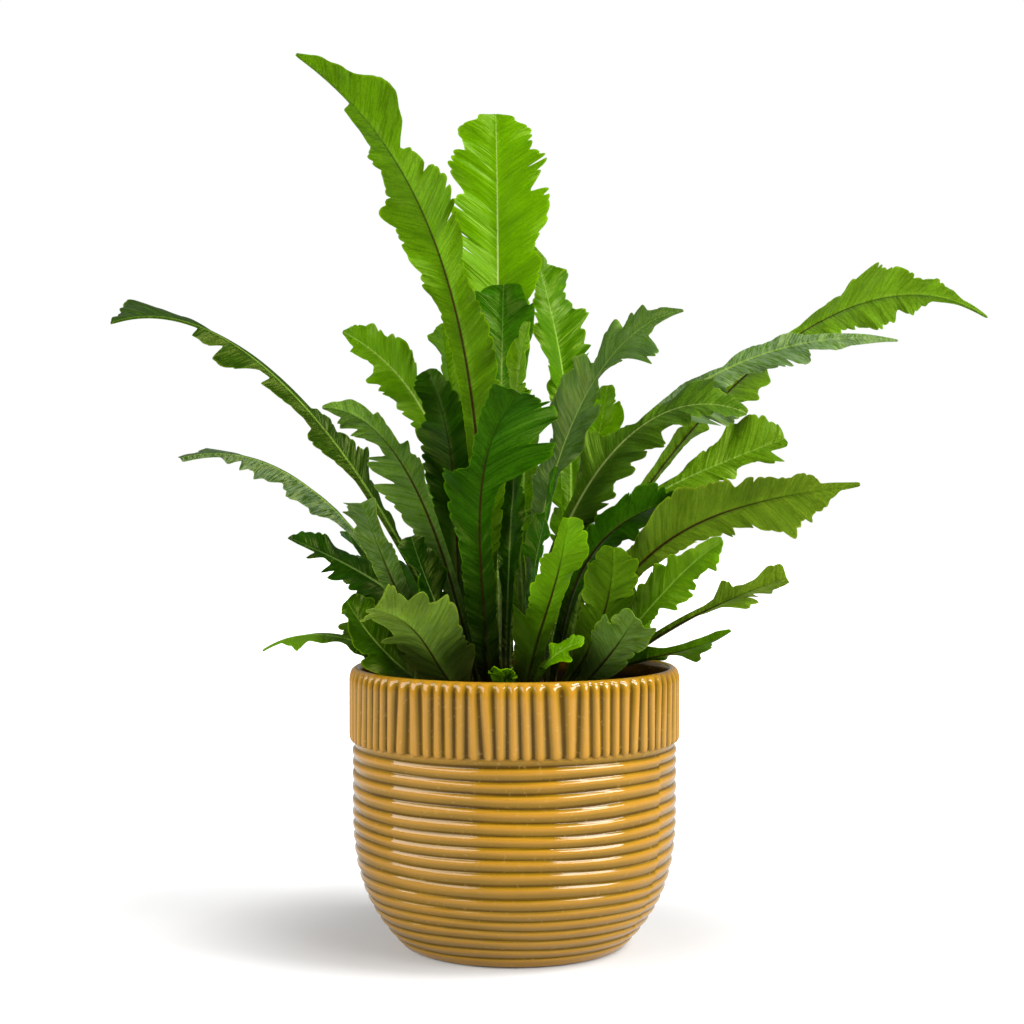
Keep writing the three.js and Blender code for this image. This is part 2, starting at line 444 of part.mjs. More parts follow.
// The rows of a frond: each crosses the midrib and runs out along its two veins, to the end of a lobe or to
// the cut between two lobes. The lobes of the two sides are set a row apart.
function rowsOf(f, length) {
  const bare = BARE_STALK / length;
  const first = Math.max(f.starts * FIRST_ROW, bare + FIRST_GAP);
  const lobes = Math.max(3, Math.round(((1 - first) * length) / LOBE_LENGTH));
  const count = ROWS_A_LOBE * lobes;
  const spacing = (LAST_ROW - first) / (count - 1);

  const rowAt = (share, steps) => {
    const body = envelope(f, share, Math.max(f.starts, bare));
    const fade = 0.5 * smooth((share - WING_FADE) / (1 - WING_FADE));
    const grown = smooth((share - bare) / WING_GROWTH) * (1 - fade);
    const wing = STALK_HALF_WIDTH + (WING_HALF_WIDTH - STALK_HALF_WIDTH) * grown;
    const sides = steps.map((step, side) => {
      const place = step % ROWS_A_LOBE;
      const lobe = Math.floor(step / ROWS_A_LOBE);
      const depth = draw(f.seed + 7 * side, lobe + 50);
      const size = draw(f.seed + 13 * side, lobe + 170);
      const more = LOBE_UNEVENNESS * size;
      const trims = [1 - f.cut * (0.5 + depth), LOBE_BACK + more, LOBE_FRONT + more];
      return {
        out: wing + Math.max(f.halfWidth * trims[place] - wing, 0) * body,
        shift: [0, -1, 1][place] * LOBE_SPREAD * spacing * body,
        ...waveOf(f, side, share, body, draw(f.seed + 3 * side, lobe + 120)),
      };
    });
    return { share, sides };
  };

  const rows = [rowAt(0, [0, 0]), rowAt(bare, [0, 0])];
  for (let i = 0; i < count; i++) {
    const jitter = ROW_JITTER * (draw(f.seed, i + 220) - 0.5);
    rows.push(rowAt(first + spacing * (i + jitter), [i, i + 2]));
  }
  const end = { out: TIP_HALF_WIDTH, shift: 0, lift: 0, fold: f.fold };
  rows.push({ share: 1, sides: [end, end] });
  return rows;
}

// How far an outline reaches at a share of the length
function reachOn(outline, share) {
  const next = Math.max(outline.findIndex(([at]) => at >= share), 1);
  const [before, reach] = outline[next - 1];
  const [after, nextReach] = outline[next];
  return reach + ((nextReach - reach) * (share - before)) / (after - before);
}

// The rows of a frond with its own outlines: one at each of their points, and more where those are far
// apart, with a small cut on each side in turn.
function outlinedRows(f, length) {
  const bare = BARE_STALK / length;
  const stalk = [[0, STALK_HALF_WIDTH], [bare, STALK_HALF_WIDTH]];
  const outlines = [[...stalk, ...f.left], [...stalk, ...f.right]];
  const rowAt = (share, cutSide) => {
    const sides = outlines.map((outline, side) => {
      const reach = reachOn(outline, share);
      const index = Math.round(share * length);
      const trim = side === cutSide ? 1 - f.cut * draw(f.seed + 7 * side, index) : 1;
      const full = Math.min(Math.max(reach - WING_HALF_WIDTH, 0) / FULL_REACH, 1);
      return { out: reach * trim, shift: 0, ...waveOf(f, side, share, full, draw(f.seed, index)) };
    });
    return { share, sides };
  };

  const shares = [...new Set(outlines.flat().map(([share]) => share))].sort((a, b) => a - b);
  const rows = [];
  for (let i = 0; i < shares.length - 1; i++) {
    const gap = shares[i + 1] - shares[i];
    const more = Math.floor((gap * length) / ROW_LENGTH);
    rows.push(rowAt(shares[i]));
    for (let k = 1; k <= more; k++) rows.push(rowAt(shares[i] + (gap * k) / (more + 1), (i + k) % 2));
  }
  rows.push(rowAt(1));
  return rows;
}

// The point at the end of a vein. Which is -1 or 1 for the two halves of the blade.
function veinEnd(route, share, { out, shift, lift, fold }, which) {
  const sweep = out / Math.tan(radians(VEIN_ANGLE - VEIN_ANGLE_LOSS * share ** 2));
  const left = (1 - share) * route.length;
  const forward = (sweep * left) / (left + sweep / 2); // held back near the tip, where the blade fans out
  const at = route.frameAt(share + shift + forward / route.length);
  return at.centre
    .addScaledVector(at.side, which * out * Math.cos(radians(fold)))
    .addScaledVector(at.normal, out * Math.sin(radians(fold)) + lift);
}

// A frond as one thin closed solid: two faces split into the same triangles, and a narrow rim round them.
function frondGeometry(f) {
  const route = midrib(f);
  const rows = f.left ? outlinedRows(f, route.length) : rowsOf(f, route.length);
  const points = [];
  for (const row of rows) {
    const { centre, normal } = route.frameAt(row.share);
    const left = veinEnd(route, row.share, row.sides[0], -1);
    const right = veinEnd(route, row.share, row.sides[1], 1);
    const below = (p, depth) => p.clone().addScaledVector(normal, -depth);
    const midribDepth = BLADE_THICKNESS + KEEL_DEPTH * (1 - row.share);
    points.push(left, centre, right);
    points.push(below(right, BLADE_THICKNESS), below(centre, midribDepth), below(left, BLADE_THICKNESS));
  }

  const [LEFT, MID, RIGHT, RIGHT_UNDER, MID_UNDER, LEFT_UNDER] = [0, 1, 2, 3, 4, 5];
  const ROW = 6;
  const faces = [];
  for (let a = 0; a < ROW * (rows.length - 1); a += ROW) {
    const b = a + ROW;
    faces.push(a + MID, b + MID, a + RIGHT, a + RIGHT, b + MID, b + RIGHT);
    faces.push(a + MID, a + LEFT, b + MID, a + LEFT, b + LEFT, b + MID);
    faces.push(a + MID_UNDER, a + RIGHT_UNDER, b + MID_UNDER);
    faces.push(a + RIGHT_UNDER, b + RIGHT_UNDER, b + MID_UNDER);
    faces.push(a + MID_UNDER, b + MID_UNDER, a + LEFT_UNDER);
    faces.push(a + LEFT_UNDER, b + MID_UNDER, b + LEFT_UNDER);
    faces.push(a + RIGHT, b + RIGHT, b + RIGHT_UNDER, a + RIGHT, b + RIGHT_UNDER, a + RIGHT_UNDER);
    faces.push(a + LEFT, b + LEFT_UNDER, b + LEFT, a + LEFT, a + LEFT_UNDER, b + LEFT_UNDER);
  }
  const end = ROW * (rows.length - 1);
  faces.push(LEFT_UNDER, MID, MID_UNDER, LEFT_UNDER, LEFT, MID);
  faces.push(MID_UNDER, RIGHT, RIGHT_UNDER, MID_UNDER, MID, RIGHT);
  faces.push(end + LEFT_UNDER, end + MID_UNDER, end + MID, end + LEFT_UNDER, end + MID, end + LEFT);
  faces.push(end + MID_UNDER, end + RIGHT_UNDER, end + RIGHT, end + MID_UNDER, end + RIGHT, end + MID);
  return new THREE.BufferGeometry().setFromPoints(points).setIndex(faces);
}

// A closed geometry as a solid, and a solid as a geometry
function solidOf(geometry) {
  const bare = geometry.clone();
  bare.deleteAttribute("normal");
  bare.deleteAttribute("uv");
  const merged = mergeVertices(bare, 1e-4);
  const mesh = new wasm.Mesh({
    numProp: 3,
    vertProperties: merged.getAttribute("position").array,
    triVerts: new Uint32Array(merged.index.array),
  });
  return new wasm.Manifold(mesh);
}
function geometryOf(solid) {
  const mesh = solid.getMesh();
  const geometry = new THREE.BufferGeometry();
  geometry.setAttribute("position", new THREE.BufferAttribute(mesh.vertProperties, 3));
  geometry.setIndex(new THREE.BufferAttribute(mesh.triVerts, 1));
  return geometry;
}

// A solid of revolution about Z from [radius, height] points that start and end on the axis.
function turned(profile, sides) {
  const geometry = new THREE.LatheGeometry(profile.map(([r, z]) => new THREE.Vector2(r, z)), sides);
  return geometry.rotateX(Math.PI / 2);
}

// The pot's wall without its rings, outside and inside
function outerRadius(z) {
  const curve = 1 - Math.max(1 - z / BELLY_CURVE_HEIGHT, 0) ** BELLY_CURVE_POWER;
  return FOOT_RADIUS + (BELLY_RADIUS - FOOT_RADIUS) * curve;
}
function innerRadius(z) {
  return Math.min(outerRadius(z) - WALL, LIP_INNER_RADIUS);
}

// The wall below the collar, with a crest and a groove for each thrown ring, evenly spaced along the wall.
function ringProfile() {
  const profile = [];
  const step = 0.05;
  let walked = 0;
  let next = RING_PITCH / 2;
  for (let z = FOOT_CHAMFER; z < COLLAR_BOTTOM - RING_PITCH / 2; z += step) {
    walked += Math.hypot(step, outerRadius(z + step) - outerRadius(z));
    if (walked < next) continue;
    const inGroove = profile.length % 2 === 1;
    profile.push([outerRadius(z) - (inGroove ? RING_DEPTH : 0), z]);
    next += RING_PITCH / 2;
  }
  return profile;
}

// The collar: a band of upright ribs all round the pot, fused to the wall behind it.
function collarGeometry() {
  const onCircle = (radius, angle) => new THREE.Vector2(radius * Math.cos(angle), radius * Math.sin(angle));
  const outline = [];
  for (let i = 0; i < COLLAR_RIBS; i++) {
    outline.push(onCircle(COLLAR_RIB_RADIUS, (2 * Math.PI * i) / COLLAR_RIBS));
    outline.push(onCircle(COLLAR_GROOVE_RADIUS, (2 * Math.PI * (i + 0.5)) / COLLAR_RIBS));
  }
  const inside = [];
  for (let i = 0; i < POT_SIDES; i++) {
    inside.push(onCircle(LIP_INNER_RADIUS + 1, (-2 * Math.PI * i) / POT_SIDES));
  }
  const band = new THREE.Shape(outline);
  band.holes.push(new THREE.Path(inside));
  const depth = POT_HEIGHT - LIP_HEIGHT - COLLAR_BOTTOM;
  return new THREE.ExtrudeGeometry(band, { depth, bevelEnabled: false }).translate(0, 0, COLLAR_BOTTOM);
}

function potGeometry() {
  const behindCollar = BELLY_RADIUS - RING_DEPTH;
  const inside = [...INNER_HEIGHTS, POT_HEIGHT - LIP_ROUND].reverse();
  const profile = [
    [0, 0],
    [FOOT_RADIUS - FOOT_CHAMFER, 0],
    [FOOT_RADIUS, FOOT_CHAMFER],
    ...ringProfile(),
    [behindCollar, COLLAR_BOTTOM],
    [behindCollar, POT_HEIGHT - LIP_HEIGHT - LIP_ROUND / 2],
    [LIP_OUTER_RADIUS, POT_HEIGHT - LIP_HEIGHT],
    [LIP_OUTER_RADIUS - LIP_ROUND / 3, POT_HEIGHT - LIP_ROUND / 3],
    [LIP_OUTER_RADIUS - LIP_ROUND, POT_HEIGHT],
    [LIP_INNER_RADIUS + LIP_ROUND / 2, POT_HEIGHT - LIP_ROUND / 6],
    ...inside.map((z) => [innerRadius(z), z]),
    [innerRadius(POT_FLOOR) - FLOOR_FILLET, POT_FLOOR],
    [0, POT_FLOOR],
  ];
  return geometryOf(solidOf(turned(profile, POT_SIDES)).add(solidOf(collarGeometry())));
}

// The soil fills the pot below the crown.
function soilGeometry() {
  const base = POT_FLOOR + SEAT_GAP;
  const profile = [
    [0, base],
    [innerRadius(POT_FLOOR) - FLOOR_FILLET - SEAT_GAP, base],
    ...[...INNER_HEIGHTS, SOIL_TOP - 1].map((z) => [innerRadius(z) - SEAT_GAP, z]),
    [innerRadius(SOIL_TOP) - SOIL_EDGE, SOIL_TOP],
    [0, SOIL_TOP],
  ];
  return turned(profile, POT_SIDES);
}

// The crown: the low scaly stem on the soil that every frond grows from, with a plain hole for each stalk.
function crownGeometry() {
  const base = SOIL_TOP + SEAT_GAP;
  const profile = [
    [0, base],
    [CROWN_RADIUS - 1, base],
    [CROWN_RADIUS, base + 1.5],
    [CROWN_RADIUS * 0.82, CROWN_TOP - 2],
    [CROWN_RADIUS * 0.43, CROWN_TOP],
    [0, CROWN_TOP],
  ];
  const upright = new THREE.Vector3(0, 1, 0);
  let crown = solidOf(turned(profile, CROWN_SIDES));
  for (const f of FRONDS) {
    const { centre, tangent, normal } = midrib(f).frameAt(0);
    const hole = new THREE.CylinderGeometry(HOLE_RADIUS, HOLE_RADIUS, HOLE_LENGTH, HOLE_SIDES);
    hole.translate(0, HOLE_LENGTH / 2 - SEAT_GAP, 0);
    hole.applyQuaternion(new THREE.Quaternion().setFromUnitVectors(upright, tangent));
    hole.translate(...centre.addScaledVector(normal, -(BLADE_THICKNESS + KEEL_DEPTH) / 2).toArray());
    crown = crown.subtract(solidOf(hole));
  }
  return geometryOf(crown);
}

const material = (color, roughness) => new THREE.MeshStandardMaterial({ color, roughness, metalness: 0 });
const mesh = (name, geometry, look) => {
  const made = new THREE.Mesh(geometry, look);
  made.name = name;
  return made;
};

const plant = new THREE.Group();
plant.add(mesh("pot", potGeometry(), material(0xae8238, 0.2)));
plant.add(mesh("soil", soilGeometry(), material(0x2e2118, 0.95)));
plant.add(mesh("crown", crownGeometry(), material(0x3a2a1a, 0.9)));
for (const f of FRONDS) {
  plant.add(mesh(`frond_${f.name}`, frondGeometry(f), material(TONES[f.tone], 0.4)));
}

export default plant;
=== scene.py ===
import math

import bpy
import numpy as np
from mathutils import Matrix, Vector


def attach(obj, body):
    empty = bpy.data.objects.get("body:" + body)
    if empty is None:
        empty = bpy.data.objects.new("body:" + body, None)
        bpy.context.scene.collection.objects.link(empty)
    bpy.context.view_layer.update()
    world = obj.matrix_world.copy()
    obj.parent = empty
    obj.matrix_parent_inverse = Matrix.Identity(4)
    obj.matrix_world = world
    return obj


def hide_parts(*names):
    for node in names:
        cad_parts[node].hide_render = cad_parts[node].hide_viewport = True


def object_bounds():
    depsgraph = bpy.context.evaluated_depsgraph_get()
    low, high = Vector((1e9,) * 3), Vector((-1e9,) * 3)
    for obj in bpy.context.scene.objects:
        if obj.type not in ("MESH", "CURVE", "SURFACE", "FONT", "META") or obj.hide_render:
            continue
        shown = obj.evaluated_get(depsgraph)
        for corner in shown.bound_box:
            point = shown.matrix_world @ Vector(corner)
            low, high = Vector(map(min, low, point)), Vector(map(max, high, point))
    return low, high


# A potted bird's nest fern in a ribbed glazed cover pot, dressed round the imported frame.
# Sizes are in millimetres until a mesh is made, which is in metres.

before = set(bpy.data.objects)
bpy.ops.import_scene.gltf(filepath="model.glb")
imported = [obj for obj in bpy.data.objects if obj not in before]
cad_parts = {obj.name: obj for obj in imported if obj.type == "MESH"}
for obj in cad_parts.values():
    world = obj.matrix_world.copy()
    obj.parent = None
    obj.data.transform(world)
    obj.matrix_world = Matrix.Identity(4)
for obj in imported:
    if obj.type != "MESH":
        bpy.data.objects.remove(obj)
cad_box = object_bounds()
MM = 0.001
SPARE = 0.02  # how far inside the solids' box every leaf stays
NEAR_LIMIT, FAR_LIMIT = np.array(cad_box) / MM + [[SPARE], [-SPARE]]

# The camera and the light, in metres
CAMERA_PLACE = (-0.0011, -0.880, 0.2136)
CAMERA_DIP = 1.154  # degrees below the horizon
CAMERA_LENS = 68.06  # for a sensor 36 mm wide
WORLD_LIGHT = 0.27
SUN_LIGHT = 2.7
SUN_WIDTH = 24  # degrees
SUN_PLACE = (78, 50)  # degrees to the right of the camera's side, and up
LIGHT_AIM_HEIGHT = 0.12
FLOOR_HALF_WIDTH = 4
WHITE = (1, 1, 1, 1)

# The fronds, with the same names and sizes as the solids that they replace
ROOT_HEIGHT = 108.6
STALK_HALF_WIDTH = 1.4
BARE_STALK = 9
WING_HALF_WIDTH = 3
WING_GROWTH = 0.16
TIP_HALF_WIDTH = 0.3
TIP_ROUNDING = 0.015  # as a share of the length
RIB_TIP_HALF_WIDTH = 0.35
RIB_RISE = 0.25
VEIN_ANGLE = 58
VEIN_ANGLE_LOSS = 12
LAST_ROW = 0.975
LOBE_LENGTH = 18
ROWS_A_LOBE = 3
LOBE_SPREAD = 0.42
LOBE_LEAST = 0.86  # as a share of the half width
LOBE_MORE = 0.28
LOBE_SLOPE = 0.04
CORNER_ROUNDING = 0.65
LIFT_BEATS = 3.3
ROW_JITTER = 0.4
SWAY = 8  # degrees
SWAY_BEATS = 1.6
FOLD_SWAY = 10
FOLD_BEATS = 1.9
FULL_REACH = 10
FINE_ROW = 0.65  # between the rows of a blade
STALK_ROW = 4  # between the rows of a stalk
RIB_COLUMNS = (0, 0.55, 1)
BLADE_COLUMNS = (0.18, 0.4, 0.62, 0.83, 1)
TOOTH_LENGTH = 5.2
TOOTH_DEPTH = 1.5
TOOTH_POWER = 2.4
SLIT_CHANCE = 0.16
SLIT_DEPTH = 0.34  # as a share of the reach
SMOOTHING = 0.9  # how much of its teeth a smooth edge loses
SMOOTHING_RUN = 0.04
ARCH = 0.05  # as a share of the reach
PLEATS = (0.22, 0.16)
RUFFLES = (1.8, 1.2)
BLADE_THICKNESS = 0.45
MARGIN_THICKNESS = 0.2
HALF_SKIN = 0.15
KEEL_DEPTH = 1.5

PLAIN_FROND = dict(
    tone="mid", turn=(0, 0), half_width=16, starts=0.25, widest=0.65, blunt=2, cut=0.4, wave=3, fold=14,
    toothless=1, light=None, bloom=0, aged=0, pale=0.25,
)


def frond(name, root, low, high, tip, left=None, right=None, **shape):
    """A frond from the four points of its midrib's curve and what sets it apart from the plain one. Left
    and right are its own outline: its reach at some per cents of the length. Turn and fold are in degrees,
    and the edge is smooth from toothless on. Light goes from 0 to 1, or below 0 for darker; it sets the
    frond's own tone and also paints light and shade on the frond, and below 0 it darkens it toward painted
    shade. Bloom and sheen is how waxy and grey the frond is, with a painted sheen in streaks along its
    veins, aged how olive, and pale how pale its midrib is above."""
    outline = [[(place / 100, reach) for place, reach in half.items()] for half in (left, right) if half]
    ends = dict(name=name, root=root, low=low, high=high, tip=tip, outline=outline)
    return {**PLAIN_FROND, **shape, **ends}


FRONDS = [
    # The tall ones in the middle
    frond("tall_left", (-14, -4), (-13, -15, 207), (-10, -34, 336), (-93, -52, 392), turn=(75, 50), wave=4,
        toothless=0.8, light=0.55, aged=0.12,
        left={20: 4, 45: 5, 57: 7, 60: 12, 61.5: 11, 63.5: 14, 68: 14.5, 70: 19, 73.5: 12, 77: 9.5, 80: 11,
        82: 7, 88.5: 5.5, 90: 1, 100: 1},
        right={20: 8, 35: 13, 50: 14, 60: 9.5, 65: 15, 70: 19, 73: 16, 75: 11.5, 78: 9.5, 80: 5, 81: 13,
        83: 18.5, 85.5: 17, 90: 11, 95: 6, 100: 1}),
    frond("top_centre", (-5, 10), (-10, 18, 197), (-6, 34, 289), (-9, 48, 385), tone="bright", wave=3,
        light=0.4, pale=1,
        left={30: 3, 50: 7, 60: 14, 68: 22, 72: 18, 76: 25, 80: 25, 82: 17, 86: 24, 90: 17, 93: 18, 97: 10,
        100: 2},
        right={30: 3, 50: 7, 60: 16, 68: 22, 78: 23, 82: 17, 85: 24, 88: 21, 90: 16, 93: 18.5, 97: 10,
        100: 2}),
    frond("right_back", (9, 9), (34, 16, 176), (31, 44, 253), (9, 64, 324), tone="bright", turn=(10, 30),
        wave=3, light=-0.12,
        left={30: 3, 50: 6, 60: 8, 69: 9, 71: 16.2, 72.5: 14, 76.2: 14.5, 77.5: 19.6, 81: 13.7, 81.8: 15.5,
        85: 13, 87.9: 15.4, 90.8: 10.1, 94: 5.4, 100: 1.5},
        right={30: 3, 50: 6, 62: 10.6, 67: 12.5, 68: 10, 70.5: 17, 71.5: 12.3, 74: 16.5, 77.5: 15.4, 83: 8.3,
        90: 5, 95: 3, 100: 1.5}),
    frond("centre_smooth", (0, 4), (-7, 8, 171), (-7, 14, 235), (-5, 20, 301), tone="dark", turn=(5, -5),
        half_width=13, starts=0.35, widest=0.85, blunt=4, cut=0.1, wave=1, toothless=0, light=0.8),
    frond("centre_edge", (4, -3), (8.5, -2, 165), (-8, -4, 227), (6, -4, 282), tone="bright", turn=(70, 75),
        half_width=7, starts=0.4, widest=0.7, blunt=3, cut=0.2, wave=1, aged=0.2),
    frond("centre_front", (-11, -17), (-11, -30, 149), (-27, -52, 219), (2, -74, 247), tone="dark",
        turn=(0, 10), wave=5, light=0.5,
        left={10: 5, 30: 7.5, 45: 9, 55: 13, 62: 16, 64.5: 17, 68: 12, 72: 7, 80: 8, 88: 9, 94: 10, 100: 4},
        right={10: 5.5, 30: 7, 45: 8, 60: 8, 65: 9, 69: 30, 73: 30, 76: 19, 80: 32, 85: 29, 90: 19, 96: 11,
        100: 4}),
    frond("stem_left", (-4, -8), (-3, -9, 160), (-2, -10, 200), (2, -9, 232), tone="dark", turn=(50, 60),
        half_width=10, widest=0.7, cut=0.25, wave=2),
    frond("stem_right", (1, -16), (4, -27, 150), (12, -38, 190), (18, -44, 216), tone="dark", turn=(60, 70),
        half_width=9, widest=0.7, cut=0.25, wave=2),
    # The left side, from the top down
    frond("left_behind", (-8, 7), (-16, 15, 175), (-28, 17, 240), (-33, 18, 283), turn=(75, 70), wave=2,
        left={30: 3, 60: 6, 80: 8, 84.5: 9, 88: 8.5, 92: 12.5, 93.5: 11.7, 96: 6.5, 100: 1.5},
        right={30: 3, 60: 8, 90: 9, 100: 1.5}),
    frond("left_bright", (-8, 19), (-26, 28, 161), (-18, 43, 248), (-83, 58, 282), tone="bright",
        turn=(-80, -80), wave=3, light=0.05, aged=0.1, pale=0.6,
        left={30: 3, 50: 6, 70: 8, 75.5: 8, 77: 12, 78: 11.6, 78.7: 14, 80.5: 15, 83.5: 14.5, 86.6: 10.4,
        87.5: 12, 90: 11.8, 94: 7.8, 100: 1},
        right={30: 3, 50: 5, 63: 7, 67: 8.5, 68: 7.5, 71: 11, 74.5: 9.1, 77.5: 11.6, 80: 10, 81.2: 12.6,
        82.7: 12.5, 84.5: 7.8, 86.6: 5.5, 93: 7.1, 94: 4, 100: 1}),
    frond("left_dark", (-16, 5), (-35, 3, 157), (-17, -1, 214), (-40, -4, 260), tone="dark", turn=(80, 70),
        wave=4, light=0,
        left={15: 3, 30: 8, 45: 14, 55: 10, 66: 14, 76: 16, 82: 9, 88: 8, 93: 9, 97: 6, 100: 2},
        right={15: 3, 30: 8, 50: 13, 70: 14, 80: 12, 90: 9, 96: 6, 100: 2}),
    frond("left_long", (-20, -4), (-33, -14, 160), (-105, -33, 304), (-173, -50, 278), tone="sage",
        turn=(-75, -45), wave=2, fold=-20, light=-0.5, pale=0.1,
        left={20: 2, 30: 5, 36: 6, 38: 4, 41: 8, 45: 15.5, 47: 11, 50: 10, 55: 8, 58: 6, 60: 3, 72: 3,
        82: 1.5, 84: 6.5, 87: 14, 89: 21, 90.5: 24.5, 93: 16.5, 97: 7.5, 100: 0.8},
        right={20: 2, 45: 2.5, 50: 5.5, 53: 8, 55.5: 7.5, 57: 4.5, 60: 4.5, 65: 5.5, 68: 7.5, 69: 2, 71: 2.5,
        73: 9, 77: 10.5, 78.5: 3.5, 80: 7.5, 83.5: 6.5, 84.5: 1, 100: 0.8}),
    frond("left_sage", (-13, -11), (-23, -17, 136), (-38, -30, 243), (-83, -44, 242), tone="sage",
        turn=(70, 60), wave=3, light=0.65, bloom=0.1,
        left={30: 3, 45: 6, 50: 9, 53: 11, 57: 13, 60: 17, 62: 19, 64: 8.5, 66: 12, 68.5: 17, 72: 14.5,
        74: 5.5, 77: 5, 80: 8, 83: 11, 84.5: 6.5, 87: 11, 90: 9, 92: 4, 100: 0.9},
        right={30: 3, 50: 3.5, 60: 4, 65: 7, 68: 8, 70.5: 6, 73: 8.5, 75: 4.5, 80: 5.5, 83: 7, 85: 4.8,
        90: 6, 95: 3, 100: 0.9}),
    frond("left_middle", (-24, -10), (-45, -21, 156), (-85, -47, 235), (-139, -74, 220), tone="sage",
        turn=(-70, -40), wave=2, fold=-20, light=-0.4, bloom=0.25, pale=0.1,
        left={25: 2.5, 40: 4, 55: 3.5, 60: 2, 66: 1, 74: 1.2, 84: 1.5, 88: 9, 92: 8, 97: 6, 100: 3},
        right={25: 2.5, 50: 3, 55: 4, 60: 8, 65: 9.5, 68: 11, 70: 8, 72: 5, 75: 8, 78: 10, 80: 5.5, 83: 7,
        84.5: 2, 87: 4, 90: 1.5, 100: 2}),
    frond("left_olive", (-20, -19), (-44, -28, 136), (-54, -43, 170), (-65, -58, 201), tone="olive",
        turn=(60, 40), wave=3, light=-0.05, bloom=0.15,
        left={20: 3, 50: 4, 70: 6, 77: 9, 80: 11, 84: 8.5, 88: 13.5, 92: 9, 96: 10, 100: 5},
        right={20: 3, 40: 5, 60: 6, 75: 6, 82: 4.5, 90: 4.5, 96: 6, 100: 5}),
    frond("left_low_dark", (-27, 1), (-31, 3, 152), (-69, 7, 169), (-104, 10, 184), tone="dark",
        turn=(-70, -40), wave=2, fold=0, light=0.1,
        left={20: 3, 35: 6, 50: 12, 60: 10, 70: 8, 77: 7.5, 80: 10, 87: 8.5, 92: 7.5, 96: 4, 100: 0.8},
        right={20: 3, 35: 8, 50: 14, 60: 11, 65: 9, 70: 10.5, 72.5: 9.5, 73.5: 5, 76: 9, 77.5: 3, 82: 2,
        85: 7, 86.5: 1.5, 94: 1.5, 100: 0.8}),
    frond("shade_left", (-19, -13), (-25, -25, 136), (-38, -34, 160), (-45, -35, 186), tone="dark",
        turn=(-75, -75), wave=2, light=-0.4,
        left={20: 3, 40: 7, 60: 10, 80: 10, 92: 7, 100: 2},
        right={20: 3, 35: 8, 50: 14, 58: 11, 70: 16, 78: 11, 88: 12, 95: 7, 100: 3}),
    frond("left_rim", (-28, -17), (-42, -24, 122), (-60, -30, 132), (-73, -37, 158), turn=(-60, -60),
        half_width=14.5, starts=0.05, widest=0.5, blunt=3, cut=0.35, wave=2, light=-0.35),
    frond("left_thin", (-30, -7), (-45, -15, 131), (-86, -30, 154), (-109, -44, 137), tone="bright",
        turn=(-30, -20), wave=1, fold=-10, light=-0.1, aged=0.4,
        left={20: 3, 50: 3, 70: 3, 85: 1.5, 100: 0.8},
        right={20: 4, 40: 9, 50: 8, 60: 4, 70: 7, 75: 5, 80: 10, 85: 5, 90: 1.5, 100: 0.8}),
    frond("front_left", (-14, -25), (-35, -34, 121), (-34, -52, 151), (-59, -68, 157), tone="olive",
        turn=(25, 20), wave=3, light=0.75, bloom=0.12,
        left={8: 3, 25: 14, 40: 20, 46: 13, 52: 20, 60: 13, 68: 20, 76: 12, 83: 17, 92: 9, 100: 2},
        right={8: 3, 30: 16, 50: 21, 60: 20, 65: 15, 74: 20, 84: 14, 92: 12, 100: 2}),
    # The front, at the rim
    frond("rim_sprout", (-4, -30), (-3, -36, 116), (-3, -47, 124), (-6, -58, 130), tone="bright",
        half_width=6, starts=0.2, widest=0.7, blunt=3, cut=0.2, wave=1),
    frond("front_young", (8, -29), (6, -36, 124), (16, -49, 138), (29, -62, 142), tone="bright",
        turn=(60, 60), half_width=6, starts=0.2, widest=0.6, cut=0.2, wave=1),
    frond("front_right", (3, -23), (7, -35, 139), (20, -57, 168), (22, -78, 195), tone="bright",
        turn=(-10, -10), wave=3, light=0.35, aged=0.2,
        left={12: 6, 20: 8.5, 27: 12, 35: 14, 38.5: 13.5, 42: 9, 47: 9, 53: 10.5, 57.5: 10, 60: 8, 65: 7,
        70: 8.5, 74: 8, 78: 4.5, 90: 3.5, 100: 2},
        right={12: 4, 30: 5, 50: 7, 60: 9, 70: 9.5, 76: 11, 81: 11, 88: 8, 93: 7, 100: 2}),
    frond("front_glossy", (11, -21), (32, -29, 127), (43, -44, 155), (42, -58, 182), turn=(-30, -40),
        half_width=12, starts=0.2, widest=0.6, blunt=3, cut=0.3, light=0.25, aged=0.3),
    frond("right_light", (17, -27), (32, -34, 121), (43, -46, 137), (51, -66, 153), turn=(-40, -50),
        half_width=13, starts=0.2, widest=0.6, cut=0.35, wave=2, light=0.1, bloom=0.15, aged=0.5),
    # The right side, from the bottom up
    frond("right_rim", (25, -15), (46, -22, 140), (68, -35, 129), (93, -48, 146), turn=(-30, -40), wave=2,
        left={20: 4, 50: 5, 62: 3, 75: 3.5, 90: 3, 100: 0.9},
        right={20: 4, 50: 9, 56: 8.5, 63: 11, 68: 10, 75: 6, 80: 6, 85: 2.5, 100: 0.9}),
    frond("right_stalk", (29, -5), (53, -11, 139), (86, -23, 156), (119, -34, 168), tone="olive",
        turn=(-50, -50), wave=2,
        left={20: 2, 64: 2, 68: 3, 70.5: 10.5, 73: 9.5, 76: 5.5, 80: 5, 85: 4.7, 90: 8, 96: 7, 100: 4},
        right={20: 2, 60: 1.5, 64: 3, 68: 4, 71: 12.5, 74.5: 15.5, 77: 7, 79.5: 11, 82: 4, 86: 8, 90: 5,
        95: 4, 100: 3}),
    frond("right_low_bright", (17, -20), (48, -29, 134), (60, -45, 164), (88, -60, 185), tone="bright",
        turn=(60, 60), wave=3, light=0.2, aged=0.3,
        left={10: 3, 40: 8, 50: 11, 56: 14, 60: 8, 61.5: 15, 64: 9, 70: 12, 75: 12, 80: 16.5, 84.5: 14,
        87: 19, 90: 14, 94: 6, 100: 2},
        right={10: 3, 40: 12, 50: 13, 55: 12, 60: 16, 65: 14, 70: 11, 75: 9, 80: 6, 86: 5.5, 93: 4.5,
        100: 2}),
